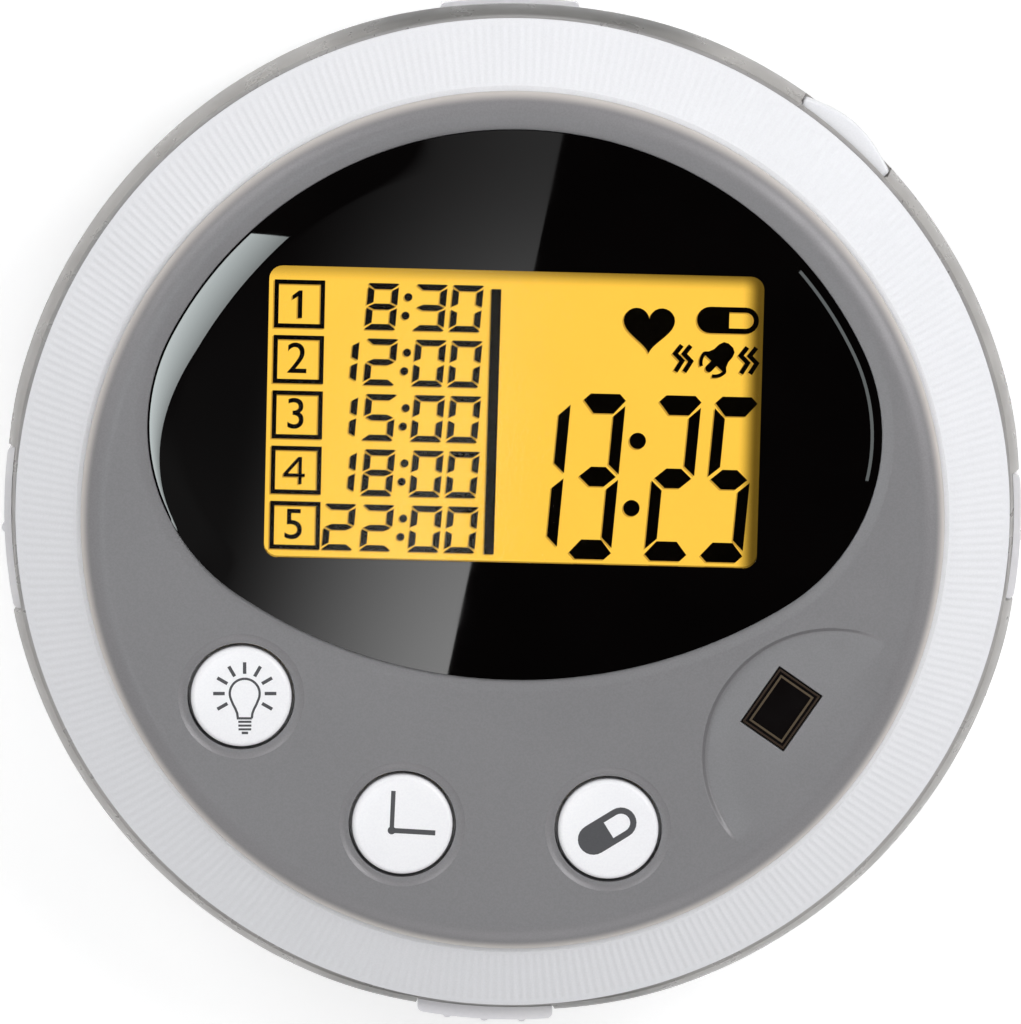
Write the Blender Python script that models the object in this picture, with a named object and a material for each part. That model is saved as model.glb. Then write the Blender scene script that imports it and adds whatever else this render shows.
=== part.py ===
"""Electronic pill box: a round alarm timer that swivels on a case with four swing-out pill trays.

Metres, +Z up, +Y towards the top of the display. The origin is the middle of the surface
that the rubber feet stand on.
"""
import math

import bmesh
import bpy
from mathutils import Matrix, Vector

# Clearances and finish that the whole part shares
GAP = 0.0003              # between neighbours that touch, slide or turn
OVERRUN = 0.002           # how far a cutter runs past what it cuts
UNION_DEPTH = 0.0005      # how deep two joined shapes reach into each other
RING_STEPS = 64           # sides of a large turned piece
ROUND_STEPS = 24          # sides of a button
PIN_STEPS = 12            # sides of a pin, screw or small hole
SMOOTH_ANGLE = 35.0       # degrees, flatter edges than this are shaded smooth

# Rubber feet and the floor of the case
FOOT_PROUD = 0.0008
FOOT_SEAT_DEPTH = 0.0006
FOOT_RADIUS = 0.0045
FOOT_CHAMFER = 0.0002
FOOT_INSET = 0.0109       # from the floor's edge to a foot's middle
FLOOR_THICKNESS = 0.0018
FLOOR_CHAMFER = 0.0008
FLOOR_STEP_IN = 0.0004    # the floor's edge lies this far inside the trays' fronts

# Collar, deck and their finger recesses
CASE_RADIUS = 0.049       # the widest radius, half way up the collar
COLLAR_OVERHANG = 0.0007  # the collar stands this far outside the trays' fronts
COLLAR_WALL = 0.0018
COLLAR_HEIGHT = 0.0043    # above the deck
COLLAR_LIP_STEP_IN = 0.001
COLLAR_EDGE_STEP_IN = 0.0005
COLLAR_EDGE_DROP = 0.0009
COLLAR_WIDEST_HEIGHT = 0.0016
COLLAR_LOWER_EDGE = 0.0005
DECK_THICKNESS = 0.0016
RECESS_DEPTH = 0.0003     # of the finger recess in the collar, at each tray's middle
RECESS_HALF_ANGLES = (15.0, 23.0, 15.0, 21.0)
NOTCH_WALL = 0.0006       # left of the collar behind a tray's tab
NOTCH_MARGIN_ANGLE = 1.2  # between a tab and each end of its notch

# Hub and dividers of the case
HUB_RADIUS = 0.010
DIVIDER_THICKNESS = 0.0024
DIVIDER_ANGLES = (45.0, 135.0)
CASE_SCREW_INSET = 0.004  # from the hub's edge
CASE_SCREW_LENGTH = 0.0085

# Swing-out trays
SIDE_NAMES = ("right", "rear", "left", "front")
SIDE_MIDDLES = (0.0, 90.0, 180.0, 270.0)
TAB_MIDDLES = (-1.3, 91.7, 183.1, 268.2)
TAB_RIB_COUNTS = (1, 1, 1, 3)
TRAY_HEIGHT = 0.0119
TRAY_WALL = 0.0013
TRAY_FLOOR = 0.0012
TRAY_GRIP_DEPTH = 0.0009  # of the finger recess in a tray's front
TRAY_CORNER_RADIUS = 0.002
TRAY_FRONT_STEPS = 20
TRAY_BACK_STEPS = 8
KNUCKLE_RADIUS = 0.003
KNUCKLE_STEPS = 8
TAB_REACHES = (-0.0002, 0.0001, -0.0002, 0.0004)  # past the case's widest radius
TAB_HALF_ANGLES = (7.2, 7.9, 9.3, 7.7)
TAB_DROP = 0.0036         # below the tray's rim
TAB_RISE = 0.0049         # above it, in front of the collar
LOW_TAB = 1               # the rear tab, which ends level with its tray's rim and needs no notch
TAB_END_RADIUS = 0.0006
TAB_STEPS = 10
TAB_ROOT_HEIGHT = 0.0030  # where the tab grows out of the tray's front
TAB_ROOT_MARGIN_ANGLE = 1.0
RIB_RADIUS = 0.0005
RIB_SINK = 0.0002         # of a rib's middle in the tab
RIB_PITCH_ANGLE = 4.2
PIN_RADIUS = 0.001
PIN_SEAT_DEPTH = 0.0011

# Fixed lips that hold the timer down, and the white catch
LIP_ANGLES = (170.0, 230.0, 290.0)
LIP_HALF_ANGLE = 9.0
LIP_THICKNESS = 0.001
CATCH_ANGLE = 50.1
CATCH_HALF_WIDTH = 0.00545
CATCH_BULGE = 0.0004
CATCH_PAD_THICKNESS = 0.0015
CATCH_STEPS = 8
CATCH_TRACK_DEPTH = 0.0002 # of the shallow track that the catch slides in
CATCH_TOP_DROP = 0.0007   # from the collar's top edge to the pad's top
HOOK_HALF_WIDTH = 0.0025
HOOK_ARM_THICKNESS = 0.0008
HOOK_THICKNESS = 0.0008
BARB_DEPTH = 0.0006
BARB_HEIGHT = 0.0006
SPRING_POST_OFFSET = 0.0042
SPRING_POST_HALF_WIDTH = 0.0005
SPRING_POST_THICKNESS = 0.0005
SPRING_POST_HEIGHT = 0.0030
SPRING_THICKNESS = 0.0002
SPRING_HALF_LENGTH = 0.0045
SPRING_WIDTH = 0.0014
SPRING_STEPS = 10

# White ring that is gripped to turn the timer
RING_STEP_IN = 0.00142    # the ring's edge lies this far inside the case's widest radius
RING_WIDTH = 0.00605
RING_EDGE_THICKNESS = 0.00035
RING_RISE = 0.00495
RING_SHOULDER = 0.00048   # flat strip between the ring's slope and the grey cover
RING_WALL = 0.0016
RING_SEAT_HEIGHT = 0.0017
SKIRT_WALL = 0.002
BEAD_CLEARANCE = 0.0018   # from the collar to the skirt's bead
BEAD_REACH = 0.0008
BEAD_HEIGHT = 0.001

# Grey face cover
COVER_SHOULDER_HEIGHT = 0.0018
COVER_SHOULDER_WIDTH = 0.0025
COVER_SHOULDER_STEPS = 5
COVER_THICKNESS = 0.0024
COVER_RIM_WIDTH = 0.00155
COVER_PLUG_WALL = 0.0013
COVER_PLUG_DEPTH = 0.0019
COVER_RIM_THICKNESS = 0.0002

# Black display lens: two large arcs joined by rounder ends
LENS_MARGIN = 0.00445      # from the face's edge to the lens's upper arc
LENS_UPPER_CENTRE_Y = 0.0009
LENS_LOWER_RADIUS = 0.0482
LENS_TO_CONTROLS = 0.0158 # from the lens's lowest point to the buttons' circle
LENS_END_REACH = 0.0176   # the rounder ends' centres lie this far from the upper arc's
LENS_THICKNESS = 0.0014
LENS_PROUD = 0.0002
LENS_BEVEL = 0.0004
LENS_ARC_STEPS = 18
LENS_END_STEPS = 8

# Display stack and circuit board
DISPLAY_SIDE_MARGIN = 0.0116
DISPLAY_TOP_MARGIN = 0.0105
DISPLAY_BOTTOM_MARGIN = 0.0078
GLASS_THICKNESS = 0.002
DISPLAY_CORNER_RADIUS = 0.0006 # of the opening that the glass sits in
GLASS_RECESS = 0.0006     # from the lens's underside to the glass
BACKLIGHT_THICKNESS = 0.0009
CONNECTOR_INSET = 0.002
CONNECTOR_DEPTH = 0.002
CONNECTOR_CLEARANCE = 0.0007
BOARD_CLEARANCE = 0.0017  # from the base's wall to the board
BOARD_THICKNESS = 0.001

# Buttons, on one circle with the sensor window
CONTROL_INSET = 0.01045   # from the face's edge to the buttons' middles
CONTROL_PITCH_ANGLE = 37.4
CONTROL_MIDDLE_ANGLE = 270.0
CONTROL_NAMES = ("light", "clock", "pill")
BUTTON_RADIUS = 0.00485
BUTTON_PROUD = 0.0004
BUTTON_TRAVEL = 0.0005
BUTTON_CROWN = 0.00008
BUTTON_EDGE_RADIUS = 0.0005
BUTTON_EDGE_STEPS = 3
BUTTON_FLANGE_REACH = 0.0009
BUTTON_FLANGE_THICKNESS = 0.0008
MOAT_WIDTH = 0.00155
MOAT_DEPTH = 0.0004
SWITCH_SIZE = 0.006
SWITCH_THICKNESS = 0.0004
PLUNGER_RADIUS = 0.0017

# Smoked sensor window and the scoop round it
SENSOR_ANGLE = 326.7
SENSOR_STEP_OUT = 0.0005  # from the buttons' circle
SENSOR_LENGTH = 0.0062
SENSOR_WIDTH = 0.0047
SENSOR_SINK = 0.0001
SENSOR_FLANGE = 0.0008
SENSOR_FLANGE_THICKNESS = 0.0006
SCOOP_RADIUS = 0.0122
SCOOP_STEP_IN = 0.0034    # from the face's edge to the scoop's centre
SCOOP_CENTRE_ANGLE = 325.2
SCOOP_DEPTH = 0.0006
SCOOP_RIM = 0.0056        # the scoop has faded out this far inside the face's edge
LED_RADIUS = 0.0015

# Timer base, batteries and what the board carries
BASE_WALL = 0.0012
BASE_PLATE_THICKNESS = 0.0024
BASE_FLANGE_THICKNESS = 0.0012
BOSS_RADIUS = 0.0022
HEAD_SCREW_INSET = 0.0037 # from the board's edge
HEAD_SCREW_NAMES = ("top_head_screw", "left_head_screw", "bottom_head_screw", "right_head_screw")
HEAD_SCREW_ANGLES = (90.0, 187.0, 270.0, 353.0)
DOOR_SCREW_LENGTH = 0.0045
SCREW_RADIUS = 0.0008
SCREW_HEAD_RADIUS = 0.0016
SCREW_HEAD_THICKNESS = 0.0008
SCREW_SLOT_WIDTH = 0.0004
SCREW_SLOT_DEPTH = 0.0003
CELL_RADIUS = 0.010
CELL_THICKNESS = 0.0032
CELL_RIM = 0.0004
CELL_STEPS = 32
CELL_SPACING = 0.0013     # from the timer's middle to each cell
BATTERY_BAY_MARGIN = 0.0008
DOOR_MARGIN = 0.0013
DOOR_THICKNESS = 0.0014
DOOR_CORNER_RADIUS = 0.0025
DOOR_TAB_RADIUS = 0.0032
DOOR_TAB_OFFSET = 0.0018
CORNER_STEPS = 4
CONTACT_LENGTH = 0.009
CONTACT_WIDTH = 0.003
CONTACT_THICKNESS = 0.0002
BUZZER_RADIUS = 0.006
BUZZER_CLEARANCE = 0.001  # from the lowest boss
BUZZER_HOLE_RADIUS = 0.0007
BUZZER_HOLE_CIRCLE = 0.003
BUZZER_HOLE_COUNT = 6
MOTOR_RADIUS = 0.002
MOTOR_LENGTH = 0.0115
MOTOR_END_X = 0.003
MOTOR_TO_BUZZER = 0.0029
MOTOR_TO_DOOR = 0.0013
MOTOR_AXIS_ABOVE_BOARD_BOTTOM = 0.0001
WEIGHT_RADIUS = 0.0026
WEIGHT_LENGTH = 0.0032
MOTOR_SHAFT_RADIUS = 0.0004
MOTOR_SHAFT_STEP = 0.0006
WEIGHT_CLEARANCE = 0.0005
CHIP_SIZE = 0.005
CHIP_THICKNESS = 0.0009
CHIP_STEP = 0.0115        # from the motor's end to the chip's middle
CHIP_DROP = 0.002

# Heights, from the ground up
FLOOR_TOP = FOOT_PROUD + FLOOR_THICKNESS
TRAY_BOTTOM = FLOOR_TOP + GAP
TRAY_TOP = TRAY_BOTTOM + TRAY_HEIGHT
DECK_BOTTOM = TRAY_TOP + GAP
DECK_TOP = DECK_BOTTOM + DECK_THICKNESS
COLLAR_TOP = DECK_TOP + COLLAR_HEIGHT
HEAD_BOTTOM = DECK_TOP + GAP
HOOK_ARM_TOP = HEAD_BOTTOM + HOOK_ARM_THICKNESS
SKIRT_BOTTOM = HOOK_ARM_TOP + GAP
BEAD_TOP = SKIRT_BOTTOM + BEAD_HEIGHT
LIP_BOTTOM = BEAD_TOP + GAP
RING_BOTTOM = COLLAR_TOP + GAP
RING_EDGE_TOP = RING_BOTTOM + RING_EDGE_THICKNESS
RING_TOP = RING_EDGE_TOP + RING_RISE
COVER_RIM_BOTTOM = RING_TOP + GAP
COVER_RIM_TOP = COVER_RIM_BOTTOM + COVER_RIM_THICKNESS
FACE_TOP = COVER_RIM_TOP + COVER_SHOULDER_HEIGHT
COVER_UNDERSIDE = FACE_TOP - COVER_THICKNESS
LENS_TOP = FACE_TOP + LENS_PROUD
LENS_BOTTOM = LENS_TOP - LENS_THICKNESS
LENS_LEDGE = LENS_BOTTOM - GAP
GLASS_TOP = LENS_BOTTOM - GLASS_RECESS
GLASS_BOTTOM = GLASS_TOP - GLASS_THICKNESS
BACKLIGHT_TOP = GLASS_BOTTOM - GAP
BACKLIGHT_BOTTOM = BACKLIGHT_TOP - BACKLIGHT_THICKNESS
BOARD_TOP = BACKLIGHT_BOTTOM - GAP
BOARD_BOTTOM = BOARD_TOP - BOARD_THICKNESS
BASE_PLATE_TOP = HEAD_BOTTOM + BASE_PLATE_THICKNESS
DOOR_TOP = HEAD_BOTTOM + DOOR_THICKNESS
CELL_BOTTOM = DOOR_TOP + GAP
CELL_TOP = CELL_BOTTOM + CELL_THICKNESS
BASE_FLANGE_TOP = BOARD_BOTTOM - GAP
BASE_FLANGE_BOTTOM = BASE_FLANGE_TOP - BASE_FLANGE_THICKNESS

# Radii and places that follow from the sizes above
TRAY_RADIUS = CASE_RADIUS - COLLAR_OVERHANG
FLOOR_RADIUS = TRAY_RADIUS - FLOOR_STEP_IN
FOOT_CIRCLE_RADIUS = FLOOR_RADIUS - FOOT_INSET
CASE_SCREW_CIRCLE_RADIUS = HUB_RADIUS - CASE_SCREW_INSET
COLLAR_INNER_RADIUS = CASE_RADIUS - COLLAR_WALL
COLLAR_LIP_RADIUS = CASE_RADIUS - COLLAR_LIP_STEP_IN
COLLAR_EDGE_RADIUS = CASE_RADIUS - COLLAR_EDGE_STEP_IN
NOTCH_RADIUS = COLLAR_INNER_RADIUS + NOTCH_WALL
CATCH_PAD_INNER_RADIUS = CASE_RADIUS - CATCH_PAD_THICKNESS
TRAY_INNER_RADIUS = HUB_RADIUS + GAP
TRAY_SIDE_OFFSET = DIVIDER_THICKNESS / 2 + GAP
KNUCKLE_DISTANCE = TRAY_RADIUS - KNUCKLE_RADIUS
KNUCKLE_SIDE_OFFSET = TRAY_SIDE_OFFSET + KNUCKLE_RADIUS
KNUCKLE_ANGLE = 45.0 - math.degrees(math.asin(KNUCKLE_SIDE_OFFSET / KNUCKLE_DISTANCE))
RING_RADIUS = CASE_RADIUS - RING_STEP_IN
RING_TOP_RADIUS = RING_RADIUS - RING_WIDTH
COVER_RADIUS = RING_TOP_RADIUS - RING_SHOULDER
COVER_PLUG_RADIUS = COVER_RADIUS - COVER_RIM_WIDTH
RING_HOLE_RADIUS = COVER_PLUG_RADIUS + GAP
CATCH_TRAVEL = BARB_DEPTH + GAP
BEAD_RADIUS = COLLAR_INNER_RADIUS - BEAD_CLEARANCE
SPRING_POST_INNER_RADIUS = BEAD_RADIUS + GAP
SKIRT_RADIUS = BEAD_RADIUS - BEAD_REACH
LIP_INNER_RADIUS = SKIRT_RADIUS + GAP
SKIRT_INNER_RADIUS = SKIRT_RADIUS - SKIRT_WALL
HOOK_OUTER_RADIUS = SKIRT_INNER_RADIUS - GAP
HOOK_INNER_RADIUS = HOOK_OUTER_RADIUS - HOOK_THICKNESS
BASE_WALL_RADIUS = HOOK_INNER_RADIUS - CATCH_TRAVEL - GAP
BOARD_RADIUS = BASE_WALL_RADIUS - BASE_WALL - BOARD_CLEARANCE
HEAD_SCREW_CIRCLE_RADIUS = BOARD_RADIUS - HEAD_SCREW_INSET
BARB_BOTTOM = SKIRT_BOTTOM + BEAD_HEIGHT - GAP
BARB_TOP = BARB_BOTTOM + BARB_HEIGHT
BASE_FLANGE_RADIUS = SKIRT_INNER_RADIUS - GAP
RING_LEDGE = BASE_FLANGE_TOP + GAP

# Places on the face
CONTROL_CIRCLE_RADIUS = COVER_RADIUS - CONTROL_INSET
SENSOR_RADIUS = CONTROL_CIRCLE_RADIUS + SENSOR_STEP_OUT
MOAT_RADIUS = BUTTON_RADIUS + MOAT_WIDTH
SCOOP_CENTRE_RADIUS = COVER_RADIUS - SCOOP_STEP_IN
SCOOP_RUN = COVER_RADIUS - SCOOP_RIM - SCOOP_CENTRE_RADIUS + SCOOP_RADIUS
LENS_UPPER_RADIUS = COVER_RADIUS - LENS_MARGIN
LENS_END_RADIUS = LENS_UPPER_RADIUS - LENS_END_REACH
LENS_LOWEST_Y = LENS_TO_CONTROLS - CONTROL_CIRCLE_RADIUS
LENS_LOWER_CENTRE_Y = LENS_LOWEST_Y + LENS_LOWER_RADIUS
GLASS_WIDTH = 2 * (LENS_UPPER_RADIUS - DISPLAY_SIDE_MARGIN)
GLASS_TOP_Y = LENS_UPPER_CENTRE_Y + LENS_UPPER_RADIUS - DISPLAY_TOP_MARGIN
GLASS_BOTTOM_Y = LENS_LOWEST_Y + DISPLAY_BOTTOM_MARGIN
GLASS_DEPTH = GLASS_TOP_Y - GLASS_BOTTOM_Y
DISPLAY_CENTRE_Y = (GLASS_TOP_Y + GLASS_BOTTOM_Y) / 2
CONNECTOR_WIDTH = GLASS_WIDTH - 2 * CONNECTOR_INSET
BACKLIGHT_DEPTH = GLASS_DEPTH - 2 * (CONNECTOR_DEPTH + CONNECTOR_CLEARANCE)

# Places inside the timer, from its lowest screw upwards
BUZZER_CENTRE_Y = BOSS_RADIUS + BUZZER_CLEARANCE + BUZZER_RADIUS - HEAD_SCREW_CIRCLE_RADIUS
WEIGHT_REACH = WEIGHT_RADIUS + WEIGHT_CLEARANCE
MOTOR_Y = BUZZER_CENTRE_Y + BUZZER_RADIUS + MOTOR_TO_BUZZER + WEIGHT_REACH
MOTOR_AXIS_Z = BOARD_BOTTOM + MOTOR_AXIS_ABOVE_BOARD_BOTTOM
CHIP_PLACE = (MOTOR_END_X + CHIP_STEP, MOTOR_Y - CHIP_DROP)
CELL_OFFSET_X = CELL_RADIUS + CELL_SPACING
BATTERY_BAY_WIDTH = 2 * (CELL_OFFSET_X + CELL_RADIUS + BATTERY_BAY_MARGIN)
BATTERY_BAY_DEPTH = 2 * (CELL_RADIUS + BATTERY_BAY_MARGIN)
DOOR_WIDTH = BATTERY_BAY_WIDTH + 2 * DOOR_MARGIN
DOOR_DEPTH = BATTERY_BAY_DEPTH + 2 * DOOR_MARGIN
DOOR_TAB_Y = MOTOR_Y + WEIGHT_REACH + MOTOR_TO_DOOR + BOSS_RADIUS
CELL_CENTRE_Y = DOOR_TAB_Y + DOOR_TAB_OFFSET + DOOR_DEPTH / 2
SCREW_HOLE_RADIUS = SCREW_RADIUS + GAP
SCREW_SINK_RADIUS = SCREW_HEAD_RADIUS + GAP
SCREW_SINK_DEPTH = SCREW_HEAD_THICKNESS + GAP


# Materials

def plastic(name, colour, roughness, transmission=0.0):
    """A moulded plastic, clear or frosted where transmission is above zero."""
    material = bpy.data.materials.new(name)
    material.use_nodes = True
    shader = material.node_tree.nodes["Principled BSDF"]
    shader.inputs["Base Color"].default_value = (*colour, 1.0)
    shader.inputs["Roughness"].default_value = roughness
    shader.inputs["Metallic"].default_value = 0.0
    shader.inputs["Transmission Weight"].default_value = transmission
    material.diffuse_color = (*colour, 1.0)
    return material


def metal(name, colour, roughness):
    """A bare metal."""
    material = plastic(name, colour, roughness)
    material.node_tree.nodes["Principled BSDF"].inputs["Metallic"].default_value = 1.0
    return material


def clear_case():
    return plastic("frosted_clear_plastic", (0.62, 0.63, 0.62), 0.35, 0.6)


def white_plastic():
    return plastic("white_plastic", (0.86, 0.86, 0.88), 0.4)


def grey_soft_touch():
    return plastic("grey_soft_touch", (0.24, 0.24, 0.24), 0.55)


def black_gloss():
    return plastic("black_gloss", (0.006, 0.006, 0.007), 0.08)


def smoked_plastic():
    return plastic("smoked_plastic", (0.02, 0.012, 0.008), 0.12, 0.3)


def amber_glass():
    return plastic("amber_glass", (1.0, 0.6, 0.08), 0.2)


def rubber():
    return plastic("dark_rubber", (0.05, 0.05, 0.05), 0.8)


def board_green():
    return plastic("board_green", (0.02, 0.16, 0.06), 0.45)


def black_epoxy():
    return plastic("black_epoxy", (0.012, 0.012, 0.012), 0.5)


def steel():
    return metal("bright_steel", (0.62, 0.63, 0.65), 0.25)


def brass():
    return metal("contact_brass", (0.78, 0.6, 0.28), 0.3)


# Shapes

def polar(radius, degrees, centre=(0.0, 0.0)):
    """The point at a radius and an angle from a centre."""
    angle = math.radians(degrees)
    return (centre[0] + radius * math.cos(angle), centre[1] + radius * math.sin(angle))


def arc(centre, radius, start, end, steps):
    """Points along an arc, both ends included, angles in degrees."""
    return [polar(radius, start + (end - start) * step / steps, centre) for step in range(steps + 1)]


def circle(centre, radius, steps):
    """Points once round a circle."""
    return arc(centre, radius, 0.0, 360.0, steps)[:-1]


def rounded_rectangle(centre, width, depth, corner):
    """The outline of a rectangle with round corners, counter-clockwise."""
    outline = []
    for quarter, (side_x, side_y) in enumerate(((1, 1), (-1, 1), (-1, -1), (1, -1))):
        corner_x = centre[0] + side_x * (width / 2 - corner)
        corner_y = centre[1] + side_y * (depth / 2 - corner)
        start = 90.0 * quarter
        outline += arc((corner_x, corner_y), corner, start, start + 90.0, CORNER_STEPS)
    return outline


def screw_bore(place, head_face, direction, hole_end):
    """The cutter for a screw: a sink for its head and a hole for its shank."""
    outside = head_face - direction * OVERRUN
    sink_end = head_face + direction * SCREW_SINK_DEPTH
    return turned("screw_bore", [
        (0.0, outside),
        (SCREW_SINK_RADIUS, outside),
        (SCREW_SINK_RADIUS, sink_end),
        (SCREW_HOLE_RADIUS, sink_end),
        (SCREW_HOLE_RADIUS, hole_end),
        (0.0, hole_end),
    ], None, PIN_STEPS, place)


def new_object(name, mesh_data, material):
    """An object named as its part, smooth on its round faces, with one material."""
    if material:
        mesh_data.materials.append(material)
    mesh_data.shade_smooth()
    mesh_data.set_sharp_from_angle(angle=math.radians(SMOOTH_ANGLE))
    piece = bpy.data.objects.new(name, mesh_data)
    bpy.context.scene.collection.objects.link(piece)
    return piece


def from_bmesh(name, shape, material):
    """Turns a finished bmesh into an object."""
    bmesh.ops.recalc_face_normals(shape, faces=shape.faces)
    mesh_data = bpy.data.meshes.new(name)
    shape.to_mesh(mesh_data)
    shape.free()
    return new_object(name, mesh_data, material)


def loft(name, loops, material=None):
    """Joins closed loops of points into one capped solid."""
    shape = bmesh.new()
    rows = [[shape.verts.new(point) for point in loop] for loop in loops]
    count = len(rows[0])
    for lower, upper in zip(rows, rows[1:]):
        for index in range(count):
            after = (index + 1) % count
            shape.faces.new((lower[index], lower[after], upper[after], upper[index]))
    shape.faces.new(rows[0][::-1])
    shape.faces.new(rows[-1])
    return from_bmesh(name, shape, material)


def prism(name, outline, bottom, top, material=None):
    """An outline in X and Y, raised from one height to another."""
    return loft(name, [[(x, y, height) for x, y in outline] for height in (bottom, top)], material)


def cylinder(name, centre, radius, bottom, top, material=None, steps=PIN_STEPS):
    """An upright cylinder."""
    return prism(name, circle(centre, radius, steps), bottom, top, material)


def box(name, low, high, material=None):
    """A box between two corners."""
    outline = [(low[0], low[1]), (high[0], low[1]), (high[0], high[1]), (low[0], high[1])]
    return prism(name, outline, low[2], high[2], material)


def close_to_axis(shape, ring, centre, height):
    """Closes a ring with a flat face, or with a cone up or down to the axis."""
    if abs(ring[0].co.z - height) < GAP / RING_STEPS:
        shape.faces.new(ring)
        return
    tip = shape.verts.new((*centre, height))
    for index, corner in enumerate(ring):
        shape.faces.new((corner, ring[(index + 1) % len(ring)], tip))


def turned(name, profile, material=None, steps=RING_STEPS, centre=(0.0, 0.0), radius_at=None):
    """A closed profile of (radius, height) points turned about an upright axis.

    A profile may run along the axis. radius_at(radius, degrees) may move a point in or out.
    """
    shape = bmesh.new()
    rings = []
    for radius, height in profile:
        ring = []
        for step in range(steps if radius else 0):
            degrees = 360.0 * step / steps
            turned_radius = radius_at(radius, degrees) if radius_at else radius
            ring.append(shape.verts.new((*polar(turned_radius, degrees, centre), height)))
        rings.append(ring)
    for index, here in enumerate(rings):
        after = (index + 1) % len(rings)
        there = rings[after]
        if here and there:
            for step in range(steps):
                beside = (step + 1) % steps
                shape.faces.new((here[step], here[beside], there[beside], there[step]))
        elif here or there:
            close_to_axis(shape, here or there, centre, profile[after if here else index][1])
    return from_bmesh(name, shape, material)


def combine(target, tool, operation):
    """Cuts or joins one solid with another, and takes the second one away."""
    modifier = target.modifiers.new(operation.lower(), "BOOLEAN")
    modifier.object = tool
    modifier.operation = operation
    modifier.solver = "EXACT"
    graph = bpy.context.evaluated_depsgraph_get()
    graph.update()
    result = bpy.data.meshes.new_from_object(target.evaluated_get(graph))
    target.modifiers.clear()
    result.name = target.name
    if target.data.materials:
        own_material = target.data.materials[0]
        result.materials.clear()
        result.materials.append(own_material)
        result.polygons.foreach_set("material_index", [0] * len(result.polygons))
    target.data = result
    result.shade_smooth()
    result.set_sharp_from_angle(angle=math.radians(SMOOTH_ANGLE))
    bpy.data.objects.remove(tool, do_unlink=True)


def gather(tools):
    """Puts separate solids into one object, to be cut or joined in one go."""
    if len(tools) == 1:
        return tools[0]
    shape = bmesh.new()
    for tool in tools:
        shape.from_mesh(tool.data)
        bpy.data.objects.remove(tool, do_unlink=True)
    return from_bmesh("tools", shape, None)


def cut(target, *tools):
    combine(target, gather(tools), "DIFFERENCE")


def unite(target, *tools):
    combine(target, gather(tools), "UNION")


def turn_about_axis(piece, degrees, axis="Z", centre=(0.0, 0.0, 0.0)):
    """Turns a piece's mesh about an axis through a point."""
    middle = Vector(centre)
    turn = Matrix.Rotation(math.radians(degrees), 4, axis)
    piece.data.transform(Matrix.Translation(middle) @ turn @ Matrix.Translation(-middle))


def set_pivot(piece, point):
    """Puts a moving piece's origin on its joint's axis without moving the piece."""
    piece.data.transform(Matrix.Translation(-Vector(point)))
    piece.location = point


# Case

def recess_share(degrees):
    """How deep the finger recess is at an angle, as a share of its full depth."""
    side = round(degrees / 90.0)
    away = degrees - 90.0 * side
    half_angle = RECESS_HALF_ANGLES[side % len(SIDE_NAMES)]
    if abs(away) > half_angle:
        return 0.0
    return math.cos(math.radians(90.0 * away / half_angle)) ** 2


def collar_radius(radius, degrees):
    """The collar's outer points dip in at each finger recess."""
    if radius <= COLLAR_INNER_RADIUS:
        return radius
    return radius - RECESS_DEPTH * recess_share(degrees)


def collar_outline():
    """The outer side of the collar, from its lower edge to its lip."""
    return [
        (CASE_RADIUS - COLLAR_LOWER_EDGE, DECK_BOTTOM),
        (CASE_RADIUS - COLLAR_LOWER_EDGE / 4, DECK_BOTTOM + COLLAR_LOWER_EDGE),
        (CASE_RADIUS, DECK_BOTTOM + COLLAR_WIDEST_HEIGHT),
        (CASE_RADIUS, DECK_TOP + COLLAR_WIDEST_HEIGHT),
        (COLLAR_EDGE_RADIUS, COLLAR_TOP - COLLAR_EDGE_DROP),
        (COLLAR_LIP_RADIUS, COLLAR_TOP),
    ]


def collar_outer_radius(height):
    """The collar's outer radius at a height, straight between the points of its outline."""
    outline = collar_outline()
    for (radius_low, low), (radius_high, high) in zip(outline, outline[1:]):
        if low <= height <= high:
            return radius_low + (radius_high - radius_low) * (height - low) / (high - low)
    return outline[-1][0]


def knuckle_place(middle):
    """Where a tray's pin stands."""
    return polar(KNUCKLE_DISTANCE, middle + KNUCKLE_ANGLE)


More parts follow.
